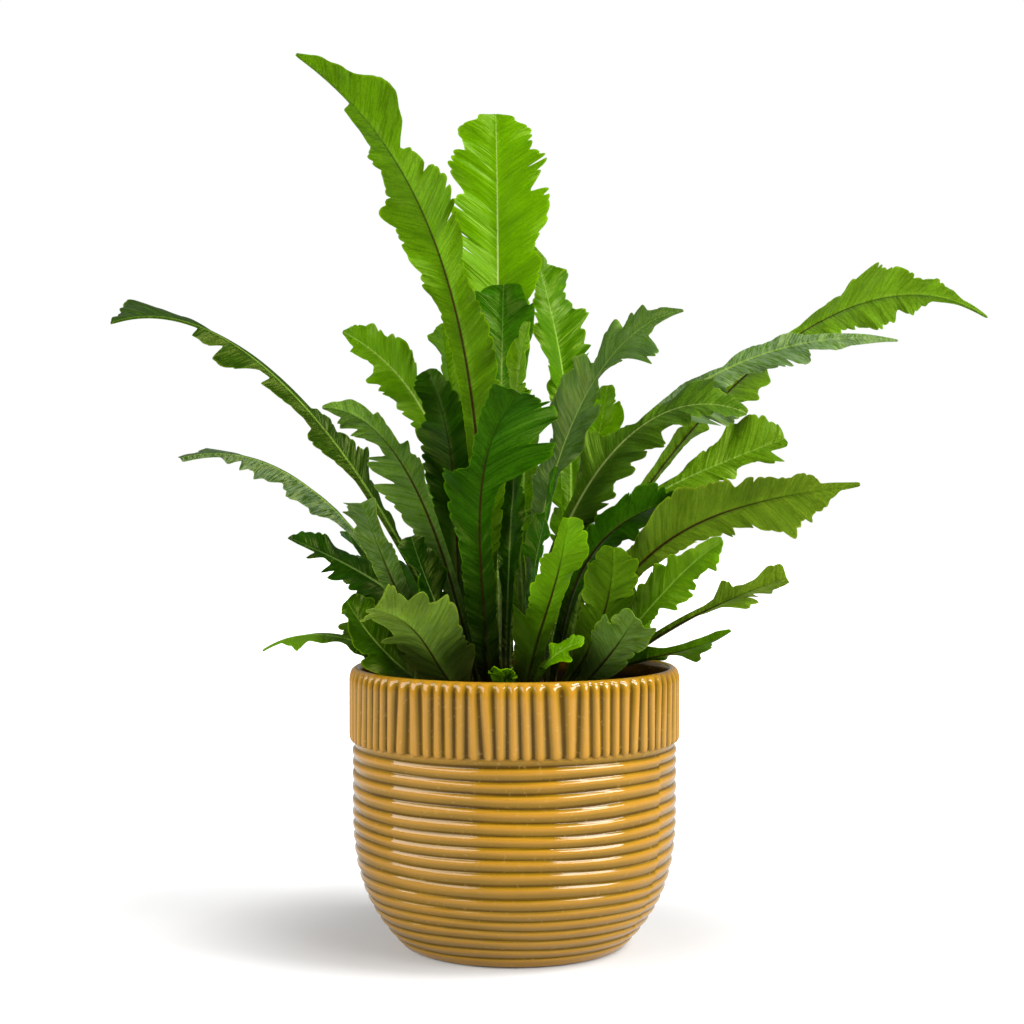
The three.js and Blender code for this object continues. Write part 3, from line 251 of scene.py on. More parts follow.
    frond("right_large", (20, -13), (49, -24, 189), (77, -43, 199), (146, -62, 209), tone="olive",
        turn=(-60, -70), wave=4, fold=-14, light=0.4, aged=0.25,
        left={15: 3, 30: 5, 40: 9, 45: 15, 50: 18, 60: 16, 65: 15, 68: 10, 70: 14.5, 75: 13, 78.5: 10.5,
        80: 8.5, 83: 10, 87: 7.5, 90: 3, 100: 1},
        right={15: 3, 40: 4, 50: 7, 58: 9, 62: 13, 64.5: 9, 70: 12, 73.5: 14, 76: 18, 78.5: 16, 80: 12,
        82: 13.5, 84: 10, 86: 9.5, 88: 8, 91: 4.5, 95: 1.5, 100: 1}),
    frond("right_folded", (15, -10), (23, -17, 156), (26, -29, 196), (78, -38, 203), tone="dark",
        turn=(-50, -50), half_width=11, starts=0.3, widest=0.7, wave=2),
    frond("right_hand", (25, 4), (25, 11, 195), (57, 24, 203), (128, 36, 230), turn=(60, 60), wave=4,
        light=0.6, aged=0.4,
        left={30: 3, 50: 5, 60: 5, 66: 8, 70: 15, 72.5: 18, 75: 8, 79: 10, 82: 6, 86: 6, 89: 12, 91.5: 13,
        93: 4, 97: 5, 100: 3},
        right={30: 3, 60: 3, 68: 3.5, 71: 7, 75: 9, 78.5: 10, 81: 17, 86: 16, 90: 14, 94: 10, 96.5: 9,
        100: 5}),
    frond("right_twisted", (10, -1), (-1, -12, 155), (42, -14, 267), (103, -22, 240), tone="sage",
        turn=(100, 40), wave=3, pale=0.7,
        left={10: 3, 30: 6, 42: 16, 46: 14, 50: 24, 53: 20, 57: 27, 60: 18, 63: 24, 67: 12, 70: 18, 74: 9,
        79: 16, 84: 11, 90: 11, 95: 7, 100: 2},
        right={10: 3, 40: 3, 50: 4, 55: 11, 60: 14, 64: 8, 68: 6, 72: 3.5, 75: 5, 79: 10, 82: 15, 86: 15,
        88: 9, 92: 7, 96: 4, 100: 2}),
    frond("right_sage_long", (17, 6), (-8, 8, 201), (88, 24, 288), (182, 40, 276.5), tone="sage",
        turn=(70, 60), wave=3, fold=0, light=0.5, bloom=0.35,
        left={10: 3, 40: 4, 48: 8, 52: 7, 57: 24, 61: 23, 65: 8, 70: 6, 74: 12.5, 78: 13, 80: 11, 82: 5,
        86: 6.5, 90: 4.5, 100: 0.8},
        right={10: 3, 45: 2, 52: 3, 57: 3.5, 60: 4.5, 65: 3, 68: 2, 70: 5, 72.5: 6.5, 75: 5, 80: 6.5, 83: 4,
        92: 2.5, 100: 0.8}),
    frond("right_long", (17, 14), (15.5, 29, 162), (140, 57, 347), (235, 84, 291), turn=(-60, -60), wave=3,
        fold=5, light=0.75, aged=0.45,
        left={20: 2.5, 35: 4, 42: 6.5, 50: 3.5, 60: 4, 67: 3.5, 69: 9.5, 73: 12, 74.5: 15.5, 75.7: 22,
        77: 19, 78.5: 16, 83: 12.5, 85: 9, 88: 9, 91: 5.5, 95: 2, 100: 0.8},
        right={20: 2.5, 35: 4, 42: 5, 45.5: 9, 47: 5, 50: 11, 53: 18.5, 55: 15, 57: 18, 60: 9, 65: 6, 70: 12,
        76: 15.5, 81: 15.5, 83: 9.5, 85: 11, 88: 7, 90: 3, 95: 1.2, 100: 0.8}),
    frond("right_sage", (5, -10), (0, -19, 151), (18, -36, 276), (72, -52, 283), tone="sage", turn=(70, 60),
        wave=4, light=0.35, bloom=0.12,
        left={12: 3, 40: 5, 52.5: 4, 54: 11, 59: 19, 61: 22, 64: 32, 65.5: 13, 67.5: 14, 69: 22, 73.5: 30,
        75: 34, 76.5: 26, 78: 24, 80.5: 33, 81.7: 26, 83.5: 27, 86: 21, 88.5: 7, 92: 3.5, 100: 0.8},
        right={12: 3, 40: 6, 55: 12, 66: 18, 73.5: 12.5, 75: 7, 76.5: 10.6, 77.5: 17, 79: 21, 80.6: 16,
        85: 11.5, 88.5: 10, 92: 5, 100: 0.8}),
    frond("back_bright", (12, 17), (28, 28, 172), (40, 46, 226), (45, 57, 256), tone="bright", turn=(10, 20),
        half_width=11, starts=0.3, widest=0.7, blunt=3, cut=0.35),
    # The back
    frond("back_left", (-21, 11), (-30, 22, 135), (-48, 40, 160), (-84, 62, 184), tone="dark", turn=(0, 10),
        half_width=13),
    frond("back_left_mid", (-13, 20), (-18, 36, 170), (-41, 80, 218), (-58, 122, 206), turn=(0, 10),
        half_width=13),
    frond("back_mid", (-4, 24), (-5, 40, 175), (-6, 90, 232), (-18, 142, 222), turn=(0, -10), half_width=14,
        starts=0.05, widest=0.5),
    frond("back_upright", (4, 19), (2, 32, 185), (4, 70, 240), (12, 112, 250), turn=(0, 10), half_width=8,
        starts=0, widest=0.45),
    frond("back_right_mid", (14, 22), (20, 38, 172), (34, 80, 222), (44, 118, 228), turn=(0, -10),
        half_width=13),
    frond("back_right", (22, 12), (34, 22, 155), (74, 52, 196), (112, 82, 190), turn=(0, 10)),
    frond("back_low_left", (-24, 14), (-38, 22, 145), (-70, 44, 158), (-80, 58, 132), half_width=12, wave=2),
    frond("back_low_mid", (3, 28), (6, 46, 145), (9, 80, 160), (10, 112, 140), half_width=12, wave=2),
    frond("back_low_right", (25, 19), (38, 29, 145), (56, 50, 150), (60, 72, 130), half_width=12, wave=2),
]


# Plain number work

def smooth(x):
    t = np.clip(x, 0, 1)
    return t * t * (3 - 2 * t)


def fraction(x):
    return x - np.floor(x)


def draw(seed, index):
    """A repeatable number from 0 to 1 for each seed and index."""
    return fraction(np.sin(seed * 12.9898 + index * 78.233) * 43758.5453)


def full_turn(columns):
    return np.linspace(0, math.tau, columns, endpoint=False)


def unit(v):
    return v / np.linalg.norm(v, axis=-1, keepdims=True)


# Meshes

def add(name, data):
    made = bpy.data.objects.new(name, data)
    bpy.context.scene.collection.objects.link(made)
    return made


def mesh_piece(name, points, faces, slots=None, looks=(), sharp=None, **layers):
    """An object from points in millimetres. Faces is a list of arrays, of triangles or quads. Slots gives
    each face's material, sharp marks the points of edges that stay sharp, and layers holds a number for each
    point."""
    mesh = bpy.data.meshes.new(name)
    points = np.asarray(points, float) * MM
    mesh.vertices.add(len(points))
    mesh.vertices.foreach_set("co", points.ravel())
    corners = np.concatenate([np.asarray(f).ravel() for f in faces])
    sizes = np.concatenate([np.full(len(f), np.asarray(f).shape[1]) for f in faces])
    mesh.loops.add(len(corners))
    mesh.loops.foreach_set("vertex_index", corners)
    mesh.polygons.add(len(sizes))
    mesh.polygons.foreach_set("loop_start", np.concatenate([[0], np.cumsum(sizes)[:-1]]))
    mesh.update(calc_edges=True)
    for look in looks:
        mesh.materials.append(look)
    if slots is not None:
        mesh.polygons.foreach_set("material_index", np.concatenate(slots))
    mesh.shade_smooth()
    if sharp is not None:
        ends = np.zeros(len(mesh.edges) * 2, int)
        mesh.edges.foreach_get("vertices", ends)
        ends = ends.reshape(-1, 2)
        keep = (sharp[ends[:, 0]] > 0) & (sharp[ends[:, 0]] == sharp[ends[:, 1]])
        mark = mesh.attributes.new("sharp_edge", "BOOLEAN", "EDGE")
        mark.data.foreach_set("value", keep)
    for layer, values in layers.items():
        data = mesh.attributes.new(layer, "FLOAT", "POINT")
        data.data.foreach_set("value", np.asarray(values, np.float32).ravel())
    mesh.validate()
    return add(name, mesh)


# Fronds

class Midrib:
    """A frond's midrib: a curve walked by its length, with the blade's own directions along it."""

    SAMPLES = 600

    def __init__(self, f, seed):
        ends = np.array([(*f["root"], ROOT_HEIGHT), f["low"], f["high"], f["tip"]], float)
        t = np.linspace(0, 1, self.SAMPLES)[:, None]
        p0, p1, p2, p3 = ends
        self.points = (1 - t) ** 3 * p0 + 3 * t * (1 - t) ** 2 * p1 + 3 * t**2 * (1 - t) * p2 + t**3 * p3
        along = 3 * ((1 - t) ** 2 * (p1 - p0) + 2 * t * (1 - t) * (p2 - p1) + t**2 * (p3 - p2))
        walked = np.concatenate([[0], np.cumsum(np.linalg.norm(np.diff(self.points, axis=0), axis=1))])
        self.length = walked[-1]
        self.shares = walked / self.length
        self.tangents = unit(along)
        across = unit(np.array([p0[1] - p3[1], p3[0] - p0[0], 0.0]))
        up = unit(np.cross(self.tangents, across))
        side = np.cross(up, self.tangents)
        start, end = f["turn"]
        sway = SWAY * np.sin(math.tau * (SWAY_BEATS * self.shares + draw(seed, 60)))
        angle = np.radians(start + (end - start) * self.shares + sway)[:, None]
        self.normals = up * np.cos(angle) - side * np.sin(angle)
        self.sides = side * np.cos(angle) + up * np.sin(angle)

    def at(self, share):
        """Centre, normal and side at each share of the length, straight on past the tip."""
        on = np.clip(share, 0, 1)
        pick = lambda table: np.stack([np.interp(on, self.shares, table[:, k]) for k in range(3)], axis=-1)
        centre = pick(self.points) + pick(self.tangents) * ((share - on) * self.length)[..., None]
        return centre, pick(self.normals), pick(self.sides)


def envelope(f, share, start):
    rise = smooth((share - start) / (f["widest"] - start))
    past = np.clip((share - f["widest"]) / (1 - f["widest"]), 0, 1)
    return rise * (1 - past ** f["blunt"])


def frond_rows(f, seed, length):
    """The share of the length at every fine row, and where each row lies among the rows of the solid."""
    bare = BARE_STALK / length
    first = f["outline"][0][0][0] if f["outline"] else max(f["starts"] * 0.7, bare + 0.04)
    lobes = max(3, round((1 - first) * length / LOBE_LENGTH))
    count = ROWS_A_LOBE * lobes
    spacing = (LAST_ROW - first) / (count - 1)
    number = np.arange(count)
    coarse = first + spacing * (number + ROW_JITTER * (draw(seed, number + 220) - 0.5))
    stalk = np.linspace(0, first, max(6, round(first * length / STALK_ROW)), endpoint=False)
    blade = np.linspace(first, 1, round((1 - first) * length / FINE_ROW))
    share = np.concatenate([stalk, blade])
    return share, np.interp(share, coarse, number), bare, spacing


def lobed_side(f, seed, share, row, bare, side):
    """How far out each row reaches on one side with even lobes, as its solid's does."""
    body = envelope(f, share, max(f["starts"], bare))
    grown = smooth((share - bare) / WING_GROWTH) * (1 - 0.5 * smooth((share - 0.8) / 0.2))
    wing = STALK_HALF_WIDTH + (WING_HALF_WIDTH - STALK_HALF_WIDTH) * grown
    step = (row + 2 * side) / ROWS_A_LOBE
    lobe = np.floor(step)
    u = step - lobe
    cut_here = 1 - f["cut"] * (0.5 + draw(seed + 7 * side, lobe + 50))
    cut_next = 1 - f["cut"] * (0.5 + draw(seed + 7 * side, lobe + 51))
    top = LOBE_LEAST + LOBE_MORE * draw(seed + 13 * side, lobe + 170) + LOBE_SLOPE * u
    bottom = np.where(u < 0.5, cut_here, cut_next)
    plateau = (1 - np.abs(2 * u - 1) ** 3) ** 0.7
    trim = bottom + (top - bottom) * plateau
    return wing + np.maximum(f["half_width"] * trim - wing, 0) * body, body


def outlined_side(f, share, bare, side):
    """How far out each row reaches on one side with an outline of its own."""
    outline = [(0, STALK_HALF_WIDTH), (bare, STALK_HALF_WIDTH), *f["outline"][side]]
    at, reach = np.array(outline, float).T
    k = np.clip(np.searchsorted(at, share, side="right") - 1, 0, len(at) - 2)
    t = (share - at[k]) / (at[k + 1] - at[k])
    t = (1 - CORNER_ROUNDING) * t + CORNER_ROUNDING * smooth(t)
    out = reach[k] + (reach[k + 1] - reach[k]) * t
    return out, np.clip((out - WING_HALF_WIDTH) / FULL_REACH, 0, 1)


def toothed(seed, side, along, out, body):
    """Small teeth along the margin, uneven in size, with a slit here and there."""
    step = along / TOOTH_LENGTH + 0.3 * np.sin(along / 7 + seed) + 0.25 * np.sin(along / 3.1 + 2 * seed)
    notch = np.floor(step + 0.5)
    away = np.abs(step - notch) * 2
    small = TOOTH_DEPTH * (0.3 + 1.4 * draw(seed + 21 * side, notch + 600)) * (1 - away) ** TOOTH_POWER
    slit = draw(seed + 23 * side, notch + 700) < SLIT_CHANCE
    deep = SLIT_DEPTH * (0.4 + 1.2 * draw(seed + 25 * side, notch + 800)) * out
    deep = deep * np.clip(1 - away * 2.5, 0, 1)
    return out - body * np.where(slit, np.maximum(small, deep), small)


def half_blade(f, seed, share, row, bare, spacing, side, length):
    """How far out each row reaches on one side, how far its end shifts along, lifts and folds."""
    if f["outline"]:
        out, body = outlined_side(f, share, bare, side)
        shift = 0 * share
    else:
        out, body = lobed_side(f, seed, share, row, bare, side)
        u = fraction((row + 2 * side) / ROWS_A_LOBE)
        shift = -LOBE_SPREAD * np.sin(math.tau * u) * spacing * body
    calm = 1 - SMOOTHING * smooth((share - f["toothless"]) / SMOOTHING_RUN)
    out = toothed(seed, side, share * length, out, body * calm)
    in_tip = np.clip((share - (1 - TIP_ROUNDING)) / TIP_ROUNDING, 0, 1)
    out = TIP_HALF_WIDTH + (out - TIP_HALF_WIDTH) * np.sqrt(1 - in_tip**2)

    beat = np.sin(math.tau * (share * LIFT_BEATS + draw(seed, 90 + side)))
    toss = np.sin(row * 1.1 + 6 * draw(seed, 410 + side)) * np.sin(row * 0.37 + 3 * draw(seed, 420 + side))
    lift = 0.8 * f["wave"] * body * (beat + 0.6 * toss)
    rise = np.sin(math.tau * (share * FOLD_BEATS + draw(seed, 70 + side)))
    return out, shift, lift, np.radians(f["fold"] + FOLD_SWAY * rise), body


def frond_points(f, seed):
    """Rows of points across a frond, upper and under, with the numbers that its material reads."""
    rib = Midrib(f, seed)
    share, row, bare, spacing = frond_rows(f, seed, rib.length)
    rib_half = RIB_TIP_HALF_WIDTH + (STALK_HALF_WIDTH - RIB_TIP_HALF_WIDTH) * (1 - share) ** 0.8
    sides = []
    for side, which in ((0, -1), (1, 1)):
        out, shift, lift, tilt, body = half_blade(f, seed, share, row, bare, spacing, side, rib.length)
        core = np.minimum(rib_half, out * 0.8)
        ribs = core[:, None] * np.array(RIB_COLUMNS)
        blades = core[:, None] + (out - core)[:, None] * np.array(BLADE_COLUMNS)
        reach = np.concatenate([ribs, blades], axis=1)
        part = reach / out[:, None]

        sweep = reach / np.tan(np.radians(VEIN_ANGLE - VEIN_ANGLE_LOSS * share**2))[:, None]
        left = ((1 - share) * rib.length)[:, None]
        forward = sweep * left / (left + sweep / 2 + 1e-9)
        at = share[:, None] + shift[:, None] * part**1.5 + forward / rib.length
        centre, normal, beside = rib.at(at)

        full = body[:, None]
        arch = ARCH * out[:, None] * 4 * part * (1 - part)
        pleat = PLEATS[0] * np.sin(row * 2.4 + seed) + PLEATS[1] * np.sin(row * 5.3 + 2 * seed)
        pleat = pleat[:, None]
        ruffle = RUFFLES[0] * part**2.5 * np.sin(row * 1.4 + 5 * draw(seed, 400 + side))[:, None]
        ruffle = ruffle + RUFFLES[1] * part**3 * np.sin(row * 3.1 + 5 * draw(seed, 405 + side))[:, None]
        rise = lift[:, None] * part**1.3 + arch + full * (pleat * smooth(part * 2) + ruffle)
        flat, steep = np.cos(tilt)[:, None], np.sin(tilt)[:, None]
        surface = centre + beside * (which * reach * flat)[..., None]
        surface = surface + normal * (reach * steep + rise)[..., None]

        dome = np.clip(1 - (reach / core[:, None]) ** 2, 0, 1)
        keel = KEEL_DEPTH * (0.2 + 0.8 * (1 - share))[:, None] * np.sqrt(dome)
        thick = BLADE_THICKNESS + (MARGIN_THICKNESS - BLADE_THICKNESS) * part**4 + keel
        upper = surface + normal * (RIB_RISE * dome - HALF_SKIN)[..., None]
        under = surface - normal * (thick + HALF_SKIN)[..., None]
        sides.append((upper, under, reach, part, np.broadcast_to(share[:, None], part.shape)))
    return rib, sides


def frond_piece(f, seed, looks):
    rib, sides = frond_points(f, seed)
    rows, columns = sides[0][2].shape
    width = 2 * columns - 1

    def across(k):
        """One value for every point of a face, from the left margin over the midrib to the right margin."""
        return np.concatenate([sides[0][k][:, ::-1], sides[1][k][:, 1:]], axis=1)

    upper, under = across(0), across(1)
    count = rows * width
    points = np.concatenate([upper.reshape(-1, 3), under.reshape(-1, 3)])
    points = np.clip(points, NEAR_LIMIT, FAR_LIMIT)
    grid = np.arange(count).reshape(rows, width)
    a, b, c, d = grid[:-1, :-1], grid[:-1, 1:], grid[1:, 1:], grid[1:, :-1]
    top = np.stack([a, d, c, b], axis=-1).reshape(-1, 4)
    bottom = np.stack([a, b, c, d], axis=-1).reshape(-1, 4) + count
    edges = []
    for line, turn in ((grid[:, 0], -1), (grid[:, -1], 1), (grid[0], 1), (grid[-1], -1)):
        quad = np.stack([line[:-1], line[1:], line[1:] + count, line[:-1] + count], axis=-1)
        edges.append(quad[:, ::turn])
    rim = np.concatenate(edges)
    layers = {"reach": across(2), "part": across(3), "share": across(4)}
    layers["vein"] = layers["share"] * rib.length
    layers = {k: np.concatenate([v.ravel(), v.ravel()]) for k, v in layers.items()}
    light = 0.35 + 0.3 * draw(seed, 500) if f["light"] is None else f["light"]
    whole = {"tone_and_shade": light, "bloom": f["bloom"], "aged": f["aged"], "pale": f["pale"], "number": seed * 7.3}
    layers.update({k: np.full(2 * count, v) for k, v in whole.items()})
    sharp = np.zeros(2 * count, int)
    sharp[grid[:, [0, -1]]] = 1
    sharp[grid[:, [0, -1]] + count] = 2
    slots = [np.zeros(len(top), int), np.ones(len(bottom), int), np.ones(len(rim), int)]
    piece = mesh_piece(f"fern_{f['name']}", points, [top, bottom, rim], slots, looks, sharp, **layers)
    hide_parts(f"frond_{f['name']}")
    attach(piece, "root")


# The pot, its soil and the crown

FOOT_RADIUS = 50
FOOT_CHAMFER = 1.2
BELLY_RADIUS = 73.6
BELLY_CURVE_HEIGHT = 70
BELLY_CURVE_POWER = 3.1
RING_PITCH = 5.6
RING_DEPTH = 1.2
RING_ROWS = 128
COLLAR_BOTTOM = 93
COLLAR_RIBS = 80
COLLAR_RIB_RADIUS = 75
COLLAR_GROOVE_DEPTH = 1.4
LIP_INNER_RADIUS = 69.6
WALL = 5
POT_FLOOR = 7
POT_COLUMNS = 7 * COLLAR_RIBS
SEAM_ANGLE = math.radians(-30)  # where the mould's halves meet and the rings jog
SEAM_JOG = 0.16  # in rings
SOIL_TOP = 105
SOIL_GAP = 0.4  # between the soil and the wall
SOIL_COLUMNS = 180
CRUMBS = 420
CRUMB_REACH = 65
CRUMB_SIZES = (0.7, 2.4)
CROWN_RADIUS = 32
CROWN_BOTTOM = 105.8
CROWN_EDGE = 106.3
CROWN_RISE = 6.2
CROWN_COLUMNS = 96
SCALES = 620
SCALE_LENGTHS = (5, 10)
SCALE_WIDTHS = (0.9, 1.6)
SCALE_THICKNESS = 0.18
SCALE_ROOT = 106
SCALE_RINGS = 5


def outer_radius(z):
    curve = 1 - np.maximum(1 - z / BELLY_CURVE_HEIGHT, 0) ** BELLY_CURVE_POWER
    return FOOT_RADIUS + (BELLY_RADIUS - FOOT_RADIUS) * curve


def inner_radius(z):
    return np.minimum(outer_radius(z) - WALL, LIP_INNER_RADIUS)


def turned_piece(name, radius, height, looks, slots=None, **layers):
    """A closed piece from rows of radius and height, one column for each angle, with a point on the axis at
    each end."""
    rows, columns = radius.shape
    angle = full_turn(columns)
    ring = np.stack([radius * np.cos(angle), radius * np.sin(angle), height], axis=-1).reshape(-1, 3)
    ends = [[0, 0, height[0].mean()], [0, 0, height[-1].mean()]]
    points = np.concatenate([ring, ends])
    grid = np.arange(rows * columns).reshape(rows, columns)
    a, b = grid[:-1], np.roll(grid[:-1], -1, axis=1)
    d, c = grid[1:], np.roll(grid[1:], -1, axis=1)
    walls = np.stack([a, b, c, d], axis=-1).reshape(-1, 4)
    first, last = rows * columns, rows * columns + 1
    start = np.stack([np.full(columns, first), np.roll(grid[0], -1), grid[0]], axis=-1)
    end = np.stack([np.full(columns, last), grid[-1], np.roll(grid[-1], -1)], axis=-1)
    layers = {k: np.concatenate([v.ravel(), [v[0].mean(), v[-1].mean()]]) for k, v in layers.items()}
    if slots is not None:
        slots = [np.repeat(slots[:-1], columns), np.full(columns, slots[0]), np.full(columns, slots[-1])]
    return mesh_piece(name, points, [walls, start, end], slots, looks, **layers)


def pot_piece(glaze, clay):
    angle = full_turn(POT_COLUMNS)
    round_seam = fraction((angle - SEAM_ANGLE) / (math.tau)) - 0.5

    # The ringed wall, by its length from the foot
    z = np.arange(FOOT_CHAMFER, COLLAR_BOTTOM + 0.5, 0.02)
    walked = np.concatenate([[0], np.cumsum(np.hypot(np.diff(z), np.diff(outer_radius(z))))])
    end = np.interp(COLLAR_BOTTOM - 0.1, z, walked)
    s = np.linspace(0, end, RING_ROWS)
    level = np.interp(s, walked, z)
    s, level = s[:, None], level[:, None]
    waver = 0.09 * np.sin(2 * angle + 0.9 + 0.05 * s) + 0.05 * np.sin(5 * angle + 0.11 * s)
    waver = waver + 0.09 * np.sin(0.19 * s + 1.1) + SEAM_JOG * round_seam
    phase = s / RING_PITCH + waver * smooth(s / 12) * smooth((end - s) / 8)
    uneven = 0.85 + 0.2 * np.sin(3 * angle + 2.1 * np.floor(phase)) * np.sin(angle + np.floor(phase))
    up = fraction(phase)
    swell = np.minimum(smooth(up / 0.62) ** 0.8, smooth((1 - up) / 0.26))
    # the colour layer of the rings: the glaze pools darker in each groove, and painted light from above
    # makes each ring lighter toward its top
    shade = np.minimum(0.55 * smooth(up / 0.3) + 0.45 * smooth((up - 0.3) / 0.4), smooth((1 - up) / 0.2))
    fade = smooth(s / 5)
    radius = outer_radius(level) - RING_DEPTH * uneven * (1 - swell) * fade
    rows = [(radius, level + 0 * radius, 1 - (1 - shade) * fade, 0)]

    # The ribbed collar and the lip
    uneven = 0.16 * np.sin(7 * angle) + 0.12 * np.sin(13 * angle + 1)
    lean = 0.5 * np.sin(3 * angle) + 0.3 * np.sin(17 * angle) + 0.3 * np.sin(29 * angle + 2)
    rib = COLLAR_RIBS * angle / (math.tau) + uneven
    rib_groove = lambda z: np.abs(np.sin(math.pi * (rib + (z - 108) / 100 * lean))) ** 2.8
    outline = [(93.0, 1.5, 0.6), (93.1, 0.9, 0.8), (93.7, 0.35, 1), (94.6, 0.08, 1)]
    outline += [(h, 0, 1) for h in np.linspace(96, 120.5, 11)]
    outline += [(121.6, 0.1, 0.95), (122.6, 0.3, 0.85), (123.5, 0.5, 0.7), (124.4, 0.85, 0.5)]
    outline += [(125.2, 1.5, 0.3)]
    for height, inset, cut in outline:
        groove = rib_groove(height)
        lifted = height + 0.9 * groove * smooth((96 - height) / 3)
        radius = COLLAR_RIB_RADIUS - inset - COLLAR_GROOVE_DEPTH * cut * groove
        rows.append((radius, lifted, 1 - groove * cut, 0))
    lip = [(72.6, 125.8), (71.8, 126), (70.9, 125.85), (70.2, 125.3), (69.8, 124.4), (69.6, 123)]
    inside = [(LIP_INNER_RADIUS, 116), (LIP_INNER_RADIUS, 104)]
    inside += [(inner_radius(h), h) for h in (60, 38, 24)] + [(inner_radius(POT_FLOOR) - 6, POT_FLOOR)]
    # inside the lip the colour layer turns negative, which paints shade on the inner wall
    for radius, height in lip + inside:
        rows.append((radius, height, 0.8 * smooth((height - 122) / 3) - smooth((124 - height) / 6), 0))

    foot = [(40.5, 1.3, 1), (42, 0.4, 1), (43, 0, 1), (48.6, 0, 1), (49.5, 0.35, 0)]
    everything = [(r, h, 0.5, slot) for r, h, slot in foot] + rows
    flat = np.ones(POT_COLUMNS)
    stack = lambda k: np.concatenate([np.atleast_2d(row[k] * flat) for row in everything])
    slots = np.concatenate([np.full(len(np.atleast_2d(row[0] * flat)), row[3]) for row in everything])
    piece = turned_piece("glazed_pot", stack(0), stack(1), (glaze, clay), slots, crest=stack(2))
    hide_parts("pot")
    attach(piece, "root")


def soil_piece(look):
    angle = full_turn(SOIL_COLUMNS)
    edge = inner_radius(SOIL_TOP) - SOIL_GAP
    rows = [(inner_radius(POT_FLOOR) - 6 - SOIL_GAP, POT_FLOOR + 0.3)]
    rows += [(inner_radius(h) - SOIL_GAP, h) for h in (24, 38, 60, 98)]
    radius, height = (np.array(k)[:, None] + 0 * angle for k in zip(*rows))
    reach = np.linspace(edge, 2, 34)[:, None] + 0 * angle
    x, y = reach * np.cos(angle), reach * np.sin(angle)
    rough = np.sin(0.9 * x + 1.3 * np.sin(0.5 * y)) * np.sin(0.8 * y + 1.1 * np.sin(0.6 * x))
    rough = 0.7 * rough + 0.5 * np.sin(2.3 * x + y) * np.sin(1.9 * y - x)
    mound = SOIL_TOP - 2.2 + 2 * smooth((edge - reach) / 20) + 0.9 * rough * smooth((edge - reach) / 2)
    radius, height = np.concatenate([radius, reach]), np.concatenate([height, mound])
    piece = turned_piece("potting_soil", radius, height, (look,))
    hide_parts("soil")
    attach(piece, "root")


def crumbs_piece(look):
    """Loose crumbs of bark and peat on the soil."""
    rng = np.random.default_rng(4)
    base = np.array([(1, 0, 0), (-1, 0, 0), (0, 1, 0), (0, -1, 0), (0, 0, 1), (0, 0, -1)], float)
    around = ((0, 2), (2, 1), (1, 3), (3, 0))
    faces = np.array([(a, b, 4) for a, b in around] + [(b, a, 5) for a, b in around])
    points, triangles = [], []
    for i in range(CRUMBS):
        reach = math.sqrt(rng.uniform(0.2, 1)) * CRUMB_REACH
        turn = rng.uniform(0, math.tau)
        size = rng.uniform(*CRUMB_SIZES)
        spin = rng.uniform(0, math.tau)
        lump = base * rng.uniform(0.6, 1.3, (6, 3)) * size * np.array([1, 0.75, 0.55])
        lump = lump + rng.uniform(-0.25, 0.25, (6, 3)) * size
        c, s = math.cos(spin), math.sin(spin)
        turned = np.array([[c, -s, 0], [s, c, 0], [0, 0, 1]])
        place = np.array([reach * math.cos(turn), reach * math.sin(turn), SOIL_TOP + 0.2 - 2 * (reach > 50)])
        points.append(lump @ turned.T + place)
        triangles.append(faces + 6 * i)
    piece = mesh_piece("soil_crumbs", np.concatenate(points), [np.concatenate(triangles)], None, (look,))
    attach(piece, "root")


def crown_rise(reach):
    return CROWN_RISE * smooth((CROWN_RADIUS - reach) / 16)


def crown_piece(look):
    """The crown: a low mound under a coat of thin brown scales."""
    angle = full_turn(CROWN_COLUMNS)
    reach = np.concatenate([[CROWN_RADIUS], np.linspace(CROWN_RADIUS, 2, 16)])[:, None] + 0 * angle
    height = CROWN_EDGE + crown_rise(reach)
    height[0] = CROWN_BOTTOM
    height[1:] += 0.5 * np.sin(0.9 * reach[1:] + 7 * angle) * smooth((CROWN_RADIUS - reach[1:]) / 4)
    piece = turned_piece("fern_crown", reach, height, (look,))
    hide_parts("crown")
    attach(piece, "root")

    rng = np.random.default_rng(9)
    points, quads = [], []
    count = 0
    stations = np.linspace(0, 1, SCALE_RINGS)
    up = np.array([0, 0, 1])
    for _ in range(SCALES):
        reach = math.sqrt(rng.uniform(0, 1)) * CROWN_RADIUS
        turn = rng.uniform(0, math.tau)
        lean = math.radians(rng.uniform(5, 30) + 45 * reach / CROWN_RADIUS)
        away = turn + rng.normal(0, 0.5)
        length, width = rng.uniform(*SCALE_LENGTHS), rng.uniform(*SCALE_WIDTHS)
        out = np.array([math.cos(away), math.sin(away), 0])
        beside = np.array([-math.sin(away), math.cos(away), 0])
        root = np.array([reach * math.cos(turn), reach * math.sin(turn), SCALE_ROOT + crown_rise(reach)])
        bend = lean + stations * rng.uniform(0.2, 0.9)
        run = np.cumsum(np.stack([np.sin(bend), np.cos(bend)], axis=-1) * length / SCALE_RINGS, axis=0)
        line = root + run[:, :1] * out + run[:, 1:] * up
        half = width * np.sqrt(np.clip(1 - stations**2, 0.01, 1))[:, None]
        thick = SCALE_THICKNESS * (np.cos(bend)[:, None] * out - np.sin(bend)[:, None] * up)
        ring = np.stack([line - half * beside, line + thick, line + half * beside, line - thick], axis=1)
        points.append(ring.reshape(-1, 3))
        grid = count + np.arange(4 * SCALE_RINGS).reshape(SCALE_RINGS, 4)
        nxt = np.roll(grid, -1, axis=1)
        quads.append(np.stack([grid[:-1], nxt[:-1], nxt[1:], grid[1:]], axis=-1).reshape(-1, 4))
        quads.append(grid[:1, ::-1])
        quads.append(grid[-1:])
        count += 4 * SCALE_RINGS
    piece = mesh_piece("crown_scales", np.concatenate(points), [np.concatenate(quads)], None, (look,))
    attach(piece, "root")


# Materials

